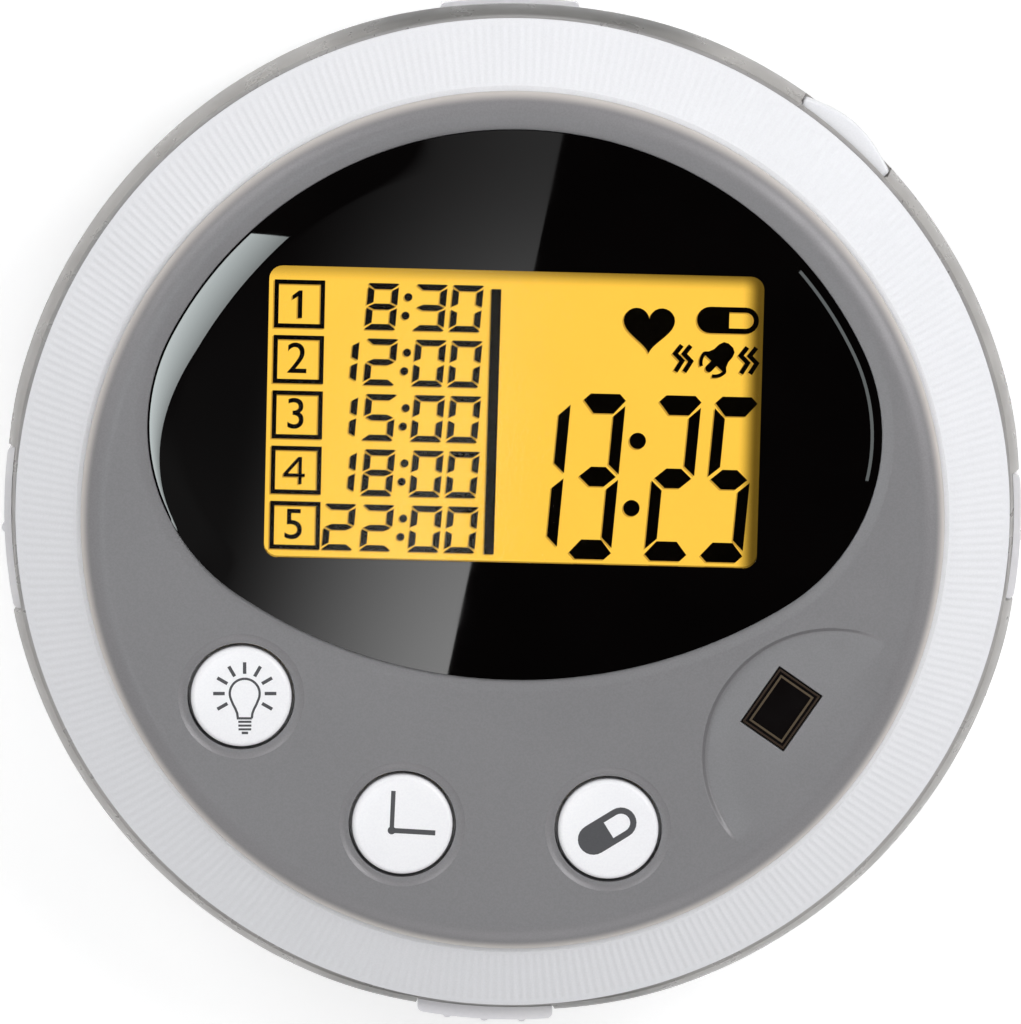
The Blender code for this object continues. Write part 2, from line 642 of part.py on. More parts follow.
def base_shell():
    """Floor, hub and four dividers, moulded in one."""
    shell = turned("base_shell", [
        (0.0, FOOT_PROUD),
        (FLOOR_RADIUS - FLOOR_CHAMFER, FOOT_PROUD),
        (FLOOR_RADIUS, FOOT_PROUD + FLOOR_CHAMFER),
        (FLOOR_RADIUS, FLOOR_TOP),
        (0.0, FLOOR_TOP),
    ], clear_case())
    rise_from = FLOOR_TOP - UNION_DEPTH
    end = DIVIDER_THICKNESS / 2
    reach = TRAY_RADIUS - end
    for angle in DIVIDER_ANGLES:
        outline = arc((reach, 0.0), end, -90.0, 90.0, KNUCKLE_STEPS)
        outline += arc((-reach, 0.0), end, 90.0, 270.0, KNUCKLE_STEPS)
        divider = prism("divider", outline, rise_from, TRAY_TOP)
        turn_about_axis(divider, angle)
        unite(shell, divider)
    unite(shell, cylinder("hub", (0.0, 0.0), HUB_RADIUS, rise_from, TRAY_TOP, None, ROUND_STEPS))
    cut(shell, *[cylinder("foot_seat", polar(FOOT_CIRCLE_RADIUS, angle), FOOT_RADIUS + GAP,
                          FOOT_PROUD - OVERRUN, FOOT_PROUD + FOOT_SEAT_DEPTH, None, ROUND_STEPS)
                 for angle in SIDE_MIDDLES])
    cut(shell, *[cylinder("pin_hole", knuckle_place(angle), PIN_RADIUS + GAP,
                          FLOOR_TOP - PIN_SEAT_DEPTH - GAP, FLOOR_TOP + OVERRUN)
                 for angle in SIDE_MIDDLES])
    cut(shell, *[cylinder("screw_hole", polar(CASE_SCREW_CIRCLE_RADIUS, angle), SCREW_HOLE_RADIUS,
                          DECK_TOP - CASE_SCREW_LENGTH - GAP, TRAY_TOP + OVERRUN)
                 for angle in SIDE_MIDDLES])
    return shell


def rubber_foot(name, angle):
    """A round rubber foot, pressed into the floor."""
    top = FOOT_PROUD + FOOT_SEAT_DEPTH - GAP
    profile = [
        (0.0, 0.0),
        (FOOT_RADIUS - FOOT_CHAMFER, 0.0),
        (FOOT_RADIUS, FOOT_CHAMFER),
        (FOOT_RADIUS, top),
        (0.0, top),
    ]
    return turned(name, profile, rubber(), ROUND_STEPS, polar(FOOT_CIRCLE_RADIUS, angle))


def tray_front(start_angle, end_angle, middle, inset):
    """A tray's front, which dips in where a fingertip reaches under its tab."""
    points = []
    for step in range(TRAY_FRONT_STEPS + 1):
        angle = start_angle + (end_angle - start_angle) * step / TRAY_FRONT_STEPS
        points.append(polar(TRAY_RADIUS - inset - TRAY_GRIP_DEPTH * recess_share(angle + middle), angle))
    return points


def side_angle(offset, radius):
    """The angle from a divider to a line beside it, at a radius."""
    return math.degrees(math.asin(offset / radius))


def tray_outline(middle):
    """The outside of a tray, laid along +X, counter-clockwise."""
    corner_distance = TRAY_RADIUS - TRAY_CORNER_RADIUS
    corner_angle = -45.0 + side_angle(TRAY_SIDE_OFFSET + TRAY_CORNER_RADIUS, corner_distance)
    inner_end = 45.0 - side_angle(TRAY_SIDE_OFFSET, TRAY_INNER_RADIUS)
    outline = arc(polar(corner_distance, corner_angle), TRAY_CORNER_RADIUS,
                  -135.0, corner_angle, CORNER_STEPS)[:-1]
    outline += tray_front(corner_angle, KNUCKLE_ANGLE, middle, 0.0)[:-1]
    outline += arc(knuckle_place(0.0), KNUCKLE_RADIUS, KNUCKLE_ANGLE, 135.0, KNUCKLE_STEPS)
    outline += arc((0.0, 0.0), TRAY_INNER_RADIUS, inner_end, -inner_end, TRAY_BACK_STEPS)
    return outline


def tray_cavity(middle):
    """The inside of a tray laid along +X, which goes round the knuckle of its pin."""
    offset = TRAY_SIDE_OFFSET + TRAY_WALL
    inner_radius = TRAY_INNER_RADIUS + TRAY_WALL
    corner_distance = TRAY_RADIUS - TRAY_CORNER_RADIUS
    corner_angle = -45.0 + side_angle(TRAY_SIDE_OFFSET + TRAY_CORNER_RADIUS, corner_distance)
    inner_end = 45.0 - side_angle(offset, inner_radius)
    keep_out = KNUCKLE_RADIUS + TRAY_WALL / 2
    front_end = KNUCKLE_ANGLE - math.degrees(keep_out / KNUCKLE_DISTANCE)
    knuckle = knuckle_place(0.0)
    front = tray_front(corner_angle, front_end, middle, TRAY_WALL)
    start = math.degrees(math.atan2(front[-1][1] - knuckle[1], front[-1][0] - knuckle[0])) % 360.0
    end = 135.0 + math.degrees(math.acos((KNUCKLE_SIDE_OFFSET - offset) / keep_out))
    outline = arc(polar(corner_distance, corner_angle), TRAY_CORNER_RADIUS - TRAY_WALL,
                  -135.0, corner_angle, CORNER_STEPS)[:-1]
    outline += front
    outline += arc(knuckle, keep_out, start, end, KNUCKLE_STEPS)[1:]
    outline += arc((0.0, 0.0), inner_radius, inner_end, -inner_end, TRAY_BACK_STEPS)
    return outline


def tab_outline(inner, outer, half_angle):
    """A curved bar across +X with round outer corners, counter-clockwise."""
    reach = half_angle - math.degrees(TAB_END_RADIUS / outer)
    corner_distance = outer - TAB_END_RADIUS
    outline = arc((0.0, 0.0), outer, -reach, reach, TAB_STEPS)
    outline += arc(polar(corner_distance, reach), TAB_END_RADIUS, reach, reach + 90.0, CORNER_STEPS)[1:]
    outline += arc((0.0, 0.0), inner, half_angle, -half_angle, TAB_STEPS)
    outline += arc(polar(corner_distance, -reach), TAB_END_RADIUS, -reach - 90.0, -reach, CORNER_STEPS)[:-1]
    return outline


def tray_tab(index):
    """The finger tab on a tray's front, which stands up in the collar's notch and has upright grip ribs."""
    inner = NOTCH_RADIUS + GAP
    outer = CASE_RADIUS + TAB_REACHES[index]
    half_angle = TAB_HALF_ANGLES[index]
    bottom = TRAY_TOP - TAB_DROP
    top = TRAY_TOP + (0.0 if index == LOW_TAB else TAB_RISE)
    tab = prism("tab", tab_outline(inner, outer, half_angle), bottom, top)
    root_inner = TRAY_RADIUS - TRAY_GRIP_DEPTH - UNION_DEPTH
    unite(tab, ring_segment("root", root_inner, (inner + outer) / 2, half_angle - TAB_ROOT_MARGIN_ANGLE, 0.0,
                            TRAY_TOP - TAB_ROOT_HEIGHT, TRAY_TOP))
    rib_count = TAB_RIB_COUNTS[index]
    for rib in range(rib_count):
        angle = RIB_PITCH_ANGLE * (rib - (rib_count - 1) / 2)
        unite(tab, cylinder("rib", polar(outer - RIB_SINK, angle), RIB_RADIUS,
                            bottom + RIB_RADIUS, top - RIB_RADIUS))
    turn_about_axis(tab, TAB_MIDDLES[index] - SIDE_MIDDLES[index])
    return tab


def pill_tray(name, index):
    """An open-topped tray that swings out about the pin at its counter-clockwise end."""
    middle = SIDE_MIDDLES[index]
    tray_material = clear_case()
    tray = prism(name, tray_outline(middle), TRAY_BOTTOM, TRAY_TOP, tray_material)
    unite(tray, tray_tab(index))
    cut(tray, prism("cavity", tray_cavity(middle), TRAY_BOTTOM + TRAY_FLOOR, TRAY_TOP + OVERRUN))
    cut(tray, cylinder("pin_bore", knuckle_place(0.0), PIN_RADIUS + GAP,
                       TRAY_BOTTOM - OVERRUN, TRAY_TOP + OVERRUN))
    turn_about_axis(tray, middle)
    set_pivot(tray, (*knuckle_place(middle), TRAY_BOTTOM))
    return tray


def tray_pin(name, middle):
    """The steel pin in a tray's knuckle, held between the floor and the deck."""
    return cylinder(name, knuckle_place(middle), PIN_RADIUS, FLOOR_TOP - PIN_SEAT_DEPTH,
                    DECK_BOTTOM + PIN_SEAT_DEPTH - GAP, steel())


def ring_segment(name, inner, outer, half_angle, middle, bottom, top):
    """A piece of a flat ring."""
    outline = arc((0.0, 0.0), outer, middle - half_angle, middle + half_angle, CORNER_STEPS)
    outline += arc((0.0, 0.0), inner, middle + half_angle, middle - half_angle, CORNER_STEPS)
    return prism(name, outline, bottom, top)


def spring_post(side):
    """One of the two posts on the deck that the catch's spring leans on."""
    middle = side * SPRING_POST_OFFSET
    post = box("spring_post",
               (SPRING_POST_INNER_RADIUS, middle - SPRING_POST_HALF_WIDTH, DECK_TOP - UNION_DEPTH),
               (SPRING_POST_INNER_RADIUS + SPRING_POST_THICKNESS, middle + SPRING_POST_HALF_WIDTH,
                DECK_TOP + SPRING_POST_HEIGHT))
    turn_about_axis(post, CATCH_ANGLE)
    return post


def case_top():
    """Deck over the trays, with the collar round the timer."""
    profile = [(0.0, DECK_BOTTOM)]
    profile += collar_outline()
    profile += [(COLLAR_INNER_RADIUS, COLLAR_TOP), (COLLAR_INNER_RADIUS, DECK_TOP), (0.0, DECK_TOP)]
    top = turned("case_top", profile, clear_case(), RING_STEPS, (0.0, 0.0), collar_radius)
    unite(top, *[ring_segment("lip", LIP_INNER_RADIUS, COLLAR_INNER_RADIUS + UNION_DEPTH, LIP_HALF_ANGLE,
                              angle, LIP_BOTTOM, LIP_BOTTOM + LIP_THICKNESS) for angle in LIP_ANGLES])
    unite(top, spring_post(-1), spring_post(1))
    cut(top, *[ring_segment("notch", NOTCH_RADIUS, CASE_RADIUS + OVERRUN, half_angle + NOTCH_MARGIN_ANGLE,
                            middle, DECK_BOTTOM - OVERRUN, COLLAR_TOP + OVERRUN)
               for index, (middle, half_angle) in enumerate(zip(TAB_MIDDLES, TAB_HALF_ANGLES))
               if index != LOW_TAB])
    track_start = SPRING_POST_INNER_RADIUS + SPRING_POST_THICKNESS + GAP
    window = box("catch_window",
                 (track_start, -CATCH_HALF_WIDTH - GAP, DECK_TOP - CATCH_TRACK_DEPTH),
                 (CASE_RADIUS + OVERRUN, CATCH_HALF_WIDTH + GAP, COLLAR_TOP - CATCH_TOP_DROP + GAP))
    turn_about_axis(window, CATCH_ANGLE)
    cut(top, window)
    cut(top, *[cylinder("pin_hole", knuckle_place(angle), PIN_RADIUS + GAP,
                        DECK_BOTTOM - OVERRUN, DECK_BOTTOM + PIN_SEAT_DEPTH) for angle in SIDE_MIDDLES])
    cut(top, *[screw_bore(polar(CASE_SCREW_CIRCLE_RADIUS, angle), DECK_TOP, -1, DECK_BOTTOM - OVERRUN)
               for angle in SIDE_MIDDLES])
    return top


def screw(name, place, head_face, direction, length):
    """A slotted screw. Its shank runs from the head along Z, up or down by its direction."""
    head_end = head_face + direction * SCREW_HEAD_THICKNESS
    shank_end = head_face + direction * length
    slot_end = head_face + direction * SCREW_SLOT_DEPTH
    piece = cylinder(name, place, SCREW_HEAD_RADIUS, *sorted((head_face, head_end)), steel())
    unite(piece, cylinder("shank", place, SCREW_RADIUS,
                          *sorted((head_end - direction * UNION_DEPTH / 2, shank_end))))
    low, high = sorted((head_face - direction * OVERRUN, slot_end))
    cut(piece, box("slot", (place[0] - SCREW_SINK_RADIUS, place[1] - SCREW_SLOT_WIDTH / 2, low),
                   (place[0] + SCREW_SINK_RADIUS, place[1] + SCREW_SLOT_WIDTH / 2, high)))
    return piece


# Catch that keeps the timer on the case

def catch_pad():
    """The white thumb pad, which follows the collar and bulges in its middle."""
    bottom = HEAD_BOTTOM
    top = COLLAR_TOP - CATCH_TOP_DROP
    middle = DECK_TOP + COLLAR_WIDEST_HEIGHT
    heights = (bottom, middle, (middle + top) / 2, top)
    loops = []
    for step in range(CATCH_STEPS + 1):
        across = CATCH_HALF_WIDTH * (2 * step / CATCH_STEPS - 1)
        bulge = CATCH_BULGE * math.cos(math.radians(90.0 * across / CATCH_HALF_WIDTH))
        outer = [(math.sqrt(collar_outer_radius(height) ** 2 - across ** 2) + bulge, across, height)
                 for height in heights]
        inner = [(CATCH_PAD_INNER_RADIUS, across, top), (CATCH_PAD_INNER_RADIUS, across, bottom)]
        loops.append(outer + inner)
    return loft("release_catch", loops, white_plastic())


def release_catch():
    """Pad, arm and barbed hook; pressing the pad draws the barb out of the timer's groove."""
    catch = catch_pad()
    arm = box("arm", (HOOK_INNER_RADIUS, -HOOK_HALF_WIDTH, HEAD_BOTTOM),
              (CATCH_PAD_INNER_RADIUS + UNION_DEPTH, HOOK_HALF_WIDTH, HOOK_ARM_TOP))
    hook = box("hook", (HOOK_INNER_RADIUS, -HOOK_HALF_WIDTH, HOOK_ARM_TOP - UNION_DEPTH),
               (HOOK_OUTER_RADIUS, HOOK_HALF_WIDTH, BARB_TOP))
    barb = box("barb", (HOOK_INNER_RADIUS, -HOOK_HALF_WIDTH, BARB_BOTTOM),
               (HOOK_OUTER_RADIUS + BARB_DEPTH, HOOK_HALF_WIDTH, BARB_TOP))
    unite(hook, barb)
    unite(arm, hook)
    unite(catch, arm)
    turn_about_axis(catch, CATCH_ANGLE)
    set_pivot(catch, (*polar(CASE_RADIUS, CATCH_ANGLE), HEAD_BOTTOM))
    return catch


def catch_spring():
    """A bowed leaf spring between the deck's posts and the back of the pad."""
    near = SPRING_POST_INNER_RADIUS + SPRING_POST_THICKNESS + GAP
    far = CATCH_PAD_INNER_RADIUS - GAP - SPRING_THICKNESS
    middle = HOOK_ARM_TOP + GAP + SPRING_WIDTH / 2
    loops = []
    for step in range(SPRING_STEPS + 1):
        share = 2 * step / SPRING_STEPS - 1
        across = SPRING_HALF_LENGTH * share
        back = near + (far - near) * math.cos(math.radians(90.0 * share)) ** 2
        front = back + SPRING_THICKNESS
        low = middle - SPRING_WIDTH / 2
        high = low + SPRING_WIDTH
        corners = ((back, low), (front, low), (front, high), (back, high))
        loops.append([(radius, across, height) for radius, height in corners])
    spring = loft("catch_spring", loops, steel())
    turn_about_axis(spring, CATCH_ANGLE)
    return spring


# Timer housing

def grip_ring():
    """The white ring, with the skirt that turns inside the collar."""
    slope_length = math.hypot(RING_RADIUS - RING_TOP_RADIUS, RING_RISE)
    wall_in = RING_WALL * RING_RISE / slope_length
    wall_down = RING_WALL * (RING_RADIUS - RING_TOP_RADIUS) / slope_length
    slope = RING_RISE / (RING_RADIUS - RING_TOP_RADIUS)
    seat_bottom = RING_TOP - RING_SEAT_HEIGHT

    def under_slope(radius):
        return RING_TOP - wall_down - (radius - (RING_TOP_RADIUS - wall_in)) * slope

    def under_slope_radius(height):
        return RING_TOP_RADIUS - wall_in + (RING_TOP - wall_down - height) / slope

    ledge_radius = BASE_FLANGE_RADIUS - SKIRT_WALL / 2
    profile = [
        (RING_RADIUS, RING_BOTTOM),
        (RING_RADIUS, RING_EDGE_TOP),
        (RING_TOP_RADIUS, RING_TOP),
        (RING_HOLE_RADIUS, RING_TOP),
        (RING_HOLE_RADIUS, seat_bottom),
        (under_slope_radius(seat_bottom), seat_bottom),
        (ledge_radius, under_slope(ledge_radius)),
        (ledge_radius, RING_LEDGE),
        (SKIRT_INNER_RADIUS, RING_LEDGE),
        (SKIRT_INNER_RADIUS, BARB_TOP + GAP),
        (SKIRT_INNER_RADIUS + BARB_DEPTH, BARB_TOP + GAP),
        (SKIRT_INNER_RADIUS + BARB_DEPTH, BARB_BOTTOM - GAP),
        (SKIRT_INNER_RADIUS, BARB_BOTTOM - GAP),
        (SKIRT_INNER_RADIUS, SKIRT_BOTTOM),
        (BEAD_RADIUS, SKIRT_BOTTOM),
        (BEAD_RADIUS, BEAD_TOP),
        (SKIRT_RADIUS, BEAD_TOP),
        (SKIRT_RADIUS, RING_BOTTOM),
    ]
    return turned("grip_ring", profile, white_plastic())


def lens_outline(grow):
    """The lens's edge: an upper and a lower arc joined by rounder ends, grown by a clearance."""
    upper_reach = LENS_UPPER_RADIUS - LENS_END_RADIUS
    lower_reach = LENS_LOWER_RADIUS - LENS_END_RADIUS
    spread = LENS_LOWER_CENTRE_Y - LENS_UPPER_CENTRE_Y
    rise = (upper_reach ** 2 - lower_reach ** 2 + spread ** 2) / (2 * spread)
    end_x = math.sqrt(upper_reach ** 2 - rise ** 2)
    end_y = LENS_UPPER_CENTRE_Y + rise
    upper_angle = math.degrees(math.atan2(end_y - LENS_UPPER_CENTRE_Y, end_x))
    lower_angle = math.degrees(math.atan2(end_y - LENS_LOWER_CENTRE_Y, end_x))
    outline = arc((0.0, LENS_UPPER_CENTRE_Y), LENS_UPPER_RADIUS + grow,
                  upper_angle, 180.0 - upper_angle, LENS_ARC_STEPS)
    outline += arc((-end_x, end_y), LENS_END_RADIUS + grow,
                   180.0 - upper_angle, 180.0 - lower_angle, LENS_END_STEPS)[1:]
    outline += arc((0.0, LENS_LOWER_CENTRE_Y), LENS_LOWER_RADIUS + grow,
                   180.0 - lower_angle, 360.0 + lower_angle, LENS_ARC_STEPS)[1:]
    outline += arc((end_x, end_y), LENS_END_RADIUS + grow,
                   lower_angle, upper_angle, LENS_END_STEPS)[1:-1]
    return outline


def control_angle(index):
    """The angle of a button, counted from the left."""
    return CONTROL_MIDDLE_ANGLE + CONTROL_PITCH_ANGLE * (index - len(CONTROL_NAMES) / 2)


def button_place(index):
    return polar(CONTROL_CIRCLE_RADIUS, control_angle(index))


def sensor_outline(grow):
    """The sensor window's edge, square to the radius it lies on."""
    middle = Vector(polar(SENSOR_RADIUS, SENSOR_ANGLE))
    out = Vector(polar(SENSOR_WIDTH / 2 + grow, SENSOR_ANGLE))
    along = Vector(polar(SENSOR_LENGTH / 2 + grow, SENSOR_ANGLE + 90.0))
    return [middle + out - along, middle + out + along, middle - out + along, middle - out - along]


def scoop_floor(point):
    """The height of the scoop's sloping floor under a point of the face."""
    outward = Vector(polar(1.0, SCOOP_CENTRE_ANGLE))
    along = Vector(point).dot(outward) - (SCOOP_CENTRE_RADIUS - SCOOP_RADIUS)
    return FACE_TOP - SCOOP_DEPTH * (1 - along / SCOOP_RUN)


def scoop_cutter():
    """A shallow round cutter whose floor rises towards the edge of the face."""
    outline = circle(polar(SCOOP_CENTRE_RADIUS, SCOOP_CENTRE_ANGLE), SCOOP_RADIUS, 2 * ROUND_STEPS)
    floor = [(x, y, scoop_floor((x, y))) for x, y in outline]
    top = [(x, y, FACE_TOP + OVERRUN) for x, y in outline]
    return loft("scoop", [floor, top])


def button_well(place):
    """The cutter for a button's hole, with the dish round it."""
    hole = BUTTON_RADIUS + GAP
    return turned("button_well", [
        (0.0, COVER_UNDERSIDE - OVERRUN),
        (hole, COVER_UNDERSIDE - OVERRUN),
        (hole, FACE_TOP - MOAT_DEPTH),
        (2 * MOAT_RADIUS - hole, FACE_TOP + MOAT_DEPTH),
        (0.0, FACE_TOP + MOAT_DEPTH),
    ], None, ROUND_STEPS, place)


def face_cover():
    """The grey soft-touch face of the timer."""
    plug_bottom = COVER_RIM_BOTTOM - COVER_PLUG_DEPTH
    plug_inner = COVER_PLUG_RADIUS - COVER_PLUG_WALL
    profile = [(COVER_RADIUS, COVER_RIM_BOTTOM)]
    for step in range(COVER_SHOULDER_STEPS + 1):
        angle = math.radians(90.0 * step / COVER_SHOULDER_STEPS)
        profile.append((COVER_RADIUS - COVER_SHOULDER_WIDTH * (1 - math.cos(angle)),
                        COVER_RIM_TOP + COVER_SHOULDER_HEIGHT * math.sin(angle)))
    profile += [
        (0.0, FACE_TOP),
        (0.0, COVER_UNDERSIDE),
        (plug_inner, COVER_UNDERSIDE),
        (plug_inner, plug_bottom),
        (COVER_PLUG_RADIUS, plug_bottom),
        (COVER_PLUG_RADIUS, COVER_RIM_BOTTOM),
    ]
    cover = turned("face_cover", profile, grey_soft_touch())
    boss_places = [polar(HEAD_SCREW_CIRCLE_RADIUS, angle) for angle in HEAD_SCREW_ANGLES]
    unite(cover, *[cylinder("boss", place, BOSS_RADIUS, BOARD_TOP + GAP, COVER_UNDERSIDE + UNION_DEPTH)
                   for place in boss_places])
    cut(cover, *[cylinder("boss_hole", place, SCREW_HOLE_RADIUS, BOARD_TOP - OVERRUN, COVER_UNDERSIDE)
                 for place in boss_places])
    cut(cover, scoop_cutter())
    cut(cover, *[button_well(button_place(index)) for index in range(len(CONTROL_NAMES))])
    cut(cover, prism("sensor_hole", sensor_outline(GAP), COVER_UNDERSIDE - OVERRUN, FACE_TOP + OVERRUN))
    cut(cover, prism("lens_seat", lens_outline(GAP), LENS_LEDGE, FACE_TOP + OVERRUN))
    opening = rounded_rectangle((0.0, DISPLAY_CENTRE_Y), GLASS_WIDTH + 2 * GAP, GLASS_DEPTH + 2 * GAP,
                                DISPLAY_CORNER_RADIUS)
    cut(cover, prism("display_opening", opening, COVER_UNDERSIDE - OVERRUN, FACE_TOP + OVERRUN))
    return cover


def display_lens():
    """The black-printed acrylic lens over the display, with a bevelled edge."""
    edge_height = LENS_TOP - LENS_BEVEL
    loops = [
        [(x, y, LENS_BOTTOM) for x, y in lens_outline(0.0)],
        [(x, y, edge_height) for x, y in lens_outline(0.0)],
        [(x, y, LENS_TOP) for x, y in lens_outline(-LENS_BEVEL)],
    ]
    return loft("display_lens", loops, black_gloss())


def lcd_glass():
    """The liquid crystal panel."""
    return box("lcd_glass", (-GLASS_WIDTH / 2, DISPLAY_CENTRE_Y - GLASS_DEPTH / 2, GLASS_BOTTOM),
               (GLASS_WIDTH / 2, DISPLAY_CENTRE_Y + GLASS_DEPTH / 2, GLASS_TOP), amber_glass())


def backlight():
    """The amber light guide behind the panel."""
    return box("backlight", (-GLASS_WIDTH / 2, DISPLAY_CENTRE_Y - BACKLIGHT_DEPTH / 2, BACKLIGHT_BOTTOM),
               (GLASS_WIDTH / 2, DISPLAY_CENTRE_Y + BACKLIGHT_DEPTH / 2, BACKLIGHT_TOP), amber_glass())


def lcd_connector(name, side):
    """An elastomer strip that joins one long edge of the panel to the board."""
    middle = DISPLAY_CENTRE_Y + side * (GLASS_DEPTH - CONNECTOR_DEPTH) / 2
    return box(name, (-CONNECTOR_WIDTH / 2, middle - CONNECTOR_DEPTH / 2, BACKLIGHT_BOTTOM),
               (CONNECTOR_WIDTH / 2, middle + CONNECTOR_DEPTH / 2, BACKLIGHT_TOP), rubber())


def push_button(name, index):
    """A round white button cap with a flange under the face."""
    top = FACE_TOP + BUTTON_PROUD
    flange_top = COVER_UNDERSIDE - GAP
    flange_bottom = flange_top - BUTTON_FLANGE_THICKNESS
    flange_radius = BUTTON_RADIUS + BUTTON_FLANGE_REACH
    edge = []
    for step in range(BUTTON_EDGE_STEPS + 1):
        angle = math.radians(90.0 * step / BUTTON_EDGE_STEPS)
        edge.append((BUTTON_RADIUS - BUTTON_EDGE_RADIUS * (1 - math.cos(angle)),
                     top - BUTTON_CROWN - BUTTON_EDGE_RADIUS * (1 - math.sin(angle))))
    profile = [(0.0, flange_bottom), (flange_radius, flange_bottom), (flange_radius, flange_top),
               (BUTTON_RADIUS, flange_top)] + edge + [(0.0, top)]
    place = button_place(index)
    cap = turned(name, profile, white_plastic(), ROUND_STEPS, place)
    set_pivot(cap, (*place, flange_bottom))
    return cap


def button_switch(name, index):
    """The small switch on the board under a button."""
    x, y = button_place(index)
    half = SWITCH_SIZE / 2
    bottom = BOARD_TOP + GAP
    plunger_top = COVER_UNDERSIDE - GAP - BUTTON_FLANGE_THICKNESS - BUTTON_TRAVEL - GAP
    switch = box(name, (x - half, y - half, bottom), (x + half, y + half, bottom + SWITCH_THICKNESS),
                 black_epoxy())
    unite(switch, cylinder("plunger", (x, y), PLUNGER_RADIUS, bottom + SWITCH_THICKNESS / 2, plunger_top))
    return switch


def sensor_window():
    """The smoked square window, with a flange under the face."""
    top = scoop_floor(polar(SENSOR_RADIUS, SENSOR_ANGLE)) - SENSOR_SINK
    flange_top = COVER_UNDERSIDE - GAP
    window = prism("sensor_window", sensor_outline(0.0), flange_top - SENSOR_FLANGE_THICKNESS / 2, top,
                   smoked_plastic())
    unite(window, prism("flange", sensor_outline(SENSOR_FLANGE), flange_top - SENSOR_FLANGE_THICKNESS,
                        flange_top))
    return window


def indicator_led():
    """The lamp under the smoked window."""
    bottom = BOARD_TOP + GAP
    top = COVER_UNDERSIDE - GAP - SENSOR_FLANGE_THICKNESS - GAP
    place = polar(SENSOR_RADIUS, SENSOR_ANGLE)
    return turned("indicator_led", [
        (0.0, bottom),
        (LED_RADIUS, bottom),
        (LED_RADIUS, top - LED_RADIUS / 2),
        (LED_RADIUS / 2, top - LED_RADIUS / 8),
        (0.0, top),
    ], plastic("red_lamp", (0.5, 0.03, 0.02), 0.2), PIN_STEPS, place)


def circuit_board():
    """The round board, notched for the motor and drilled for the screws."""
    board = cylinder("circuit_board", (0.0, 0.0), BOARD_RADIUS, BOARD_BOTTOM, BOARD_TOP, board_green(),
                     2 * ROUND_STEPS)
    motor_back = MOTOR_END_X - MOTOR_LENGTH - GAP
    weight_end = MOTOR_END_X + MOTOR_SHAFT_STEP + WEIGHT_LENGTH + GAP
    slim = MOTOR_RADIUS + GAP
    outline = [
        (motor_back, MOTOR_Y - slim),
        (MOTOR_END_X, MOTOR_Y - slim),
        (MOTOR_END_X, MOTOR_Y - WEIGHT_REACH),
        (weight_end, MOTOR_Y - WEIGHT_REACH),
        (weight_end, MOTOR_Y + WEIGHT_REACH),
        (MOTOR_END_X, MOTOR_Y + WEIGHT_REACH),
        (MOTOR_END_X, MOTOR_Y + slim),
        (motor_back, MOTOR_Y + slim),
    ]
    cut(board, prism("motor_notch", outline, BOARD_BOTTOM - OVERRUN, BOARD_TOP + OVERRUN))
    cut(board, *[cylinder("screw_hole", polar(HEAD_SCREW_CIRCLE_RADIUS, angle), SCREW_HOLE_RADIUS,
                          BOARD_BOTTOM - OVERRUN, BOARD_TOP + OVERRUN) for angle in HEAD_SCREW_ANGLES])
    return board


def controller_chip():
    """The timer's chip, on top of the board."""
    x, y = CHIP_PLACE
    half = CHIP_SIZE / 2
    bottom = BOARD_TOP + GAP
    return box("controller_chip", (x - half, y - half, bottom),
               (x + half, y + half, bottom + CHIP_THICKNESS), black_epoxy())


def buzzer():
    """The round alarm sounder under the board."""
    return cylinder("buzzer", (0.0, BUZZER_CENTRE_Y), BUZZER_RADIUS, BASE_PLATE_TOP + GAP,
                    BOARD_BOTTOM - GAP, black_epoxy(), ROUND_STEPS)


def lie_along_x(piece, place):
    """Tips a piece that was built upright on the origin so that it lies along +X from a place."""
    turn_about_axis(piece, 90.0, "Y")
    piece.data.transform(Matrix.Translation(Vector(place)))


def vibration_motor():
    """The can of the vibration motor, which lies in the board's notch."""
    motor = cylinder("vibration_motor", (0.0, 0.0), MOTOR_RADIUS, 0.0, MOTOR_LENGTH, steel(), PIN_STEPS)
    lie_along_x(motor, (MOTOR_END_X - MOTOR_LENGTH, MOTOR_Y, MOTOR_AXIS_Z))
    return motor


def motor_weight():
    """The half-round weight that the motor spins, with its bit of shaft."""
    outline = arc((0.0, 0.0), WEIGHT_RADIUS, -90.0, 90.0, PIN_STEPS // 2)
    outline += arc((0.0, 0.0), 2 * MOTOR_SHAFT_RADIUS, 90.0, 270.0, CORNER_STEPS)
    weight = prism("motor_weight", outline, MOTOR_SHAFT_STEP, MOTOR_SHAFT_STEP + WEIGHT_LENGTH, brass())
    unite(weight, cylinder("shaft", (0.0, 0.0), MOTOR_SHAFT_RADIUS, GAP, MOTOR_SHAFT_STEP + UNION_DEPTH))
    lie_along_x(weight, (MOTOR_END_X, MOTOR_Y, MOTOR_AXIS_Z))
    set_pivot(weight, (MOTOR_END_X, MOTOR_Y, MOTOR_AXIS_Z))
    return weight


def door_outline(grow):
    """The battery door's edge, a rounded rectangle."""
    return rounded_rectangle((0.0, CELL_CENTRE_Y), DOOR_WIDTH + 2 * grow, DOOR_DEPTH + 2 * grow,
                             DOOR_CORNER_RADIUS + grow)


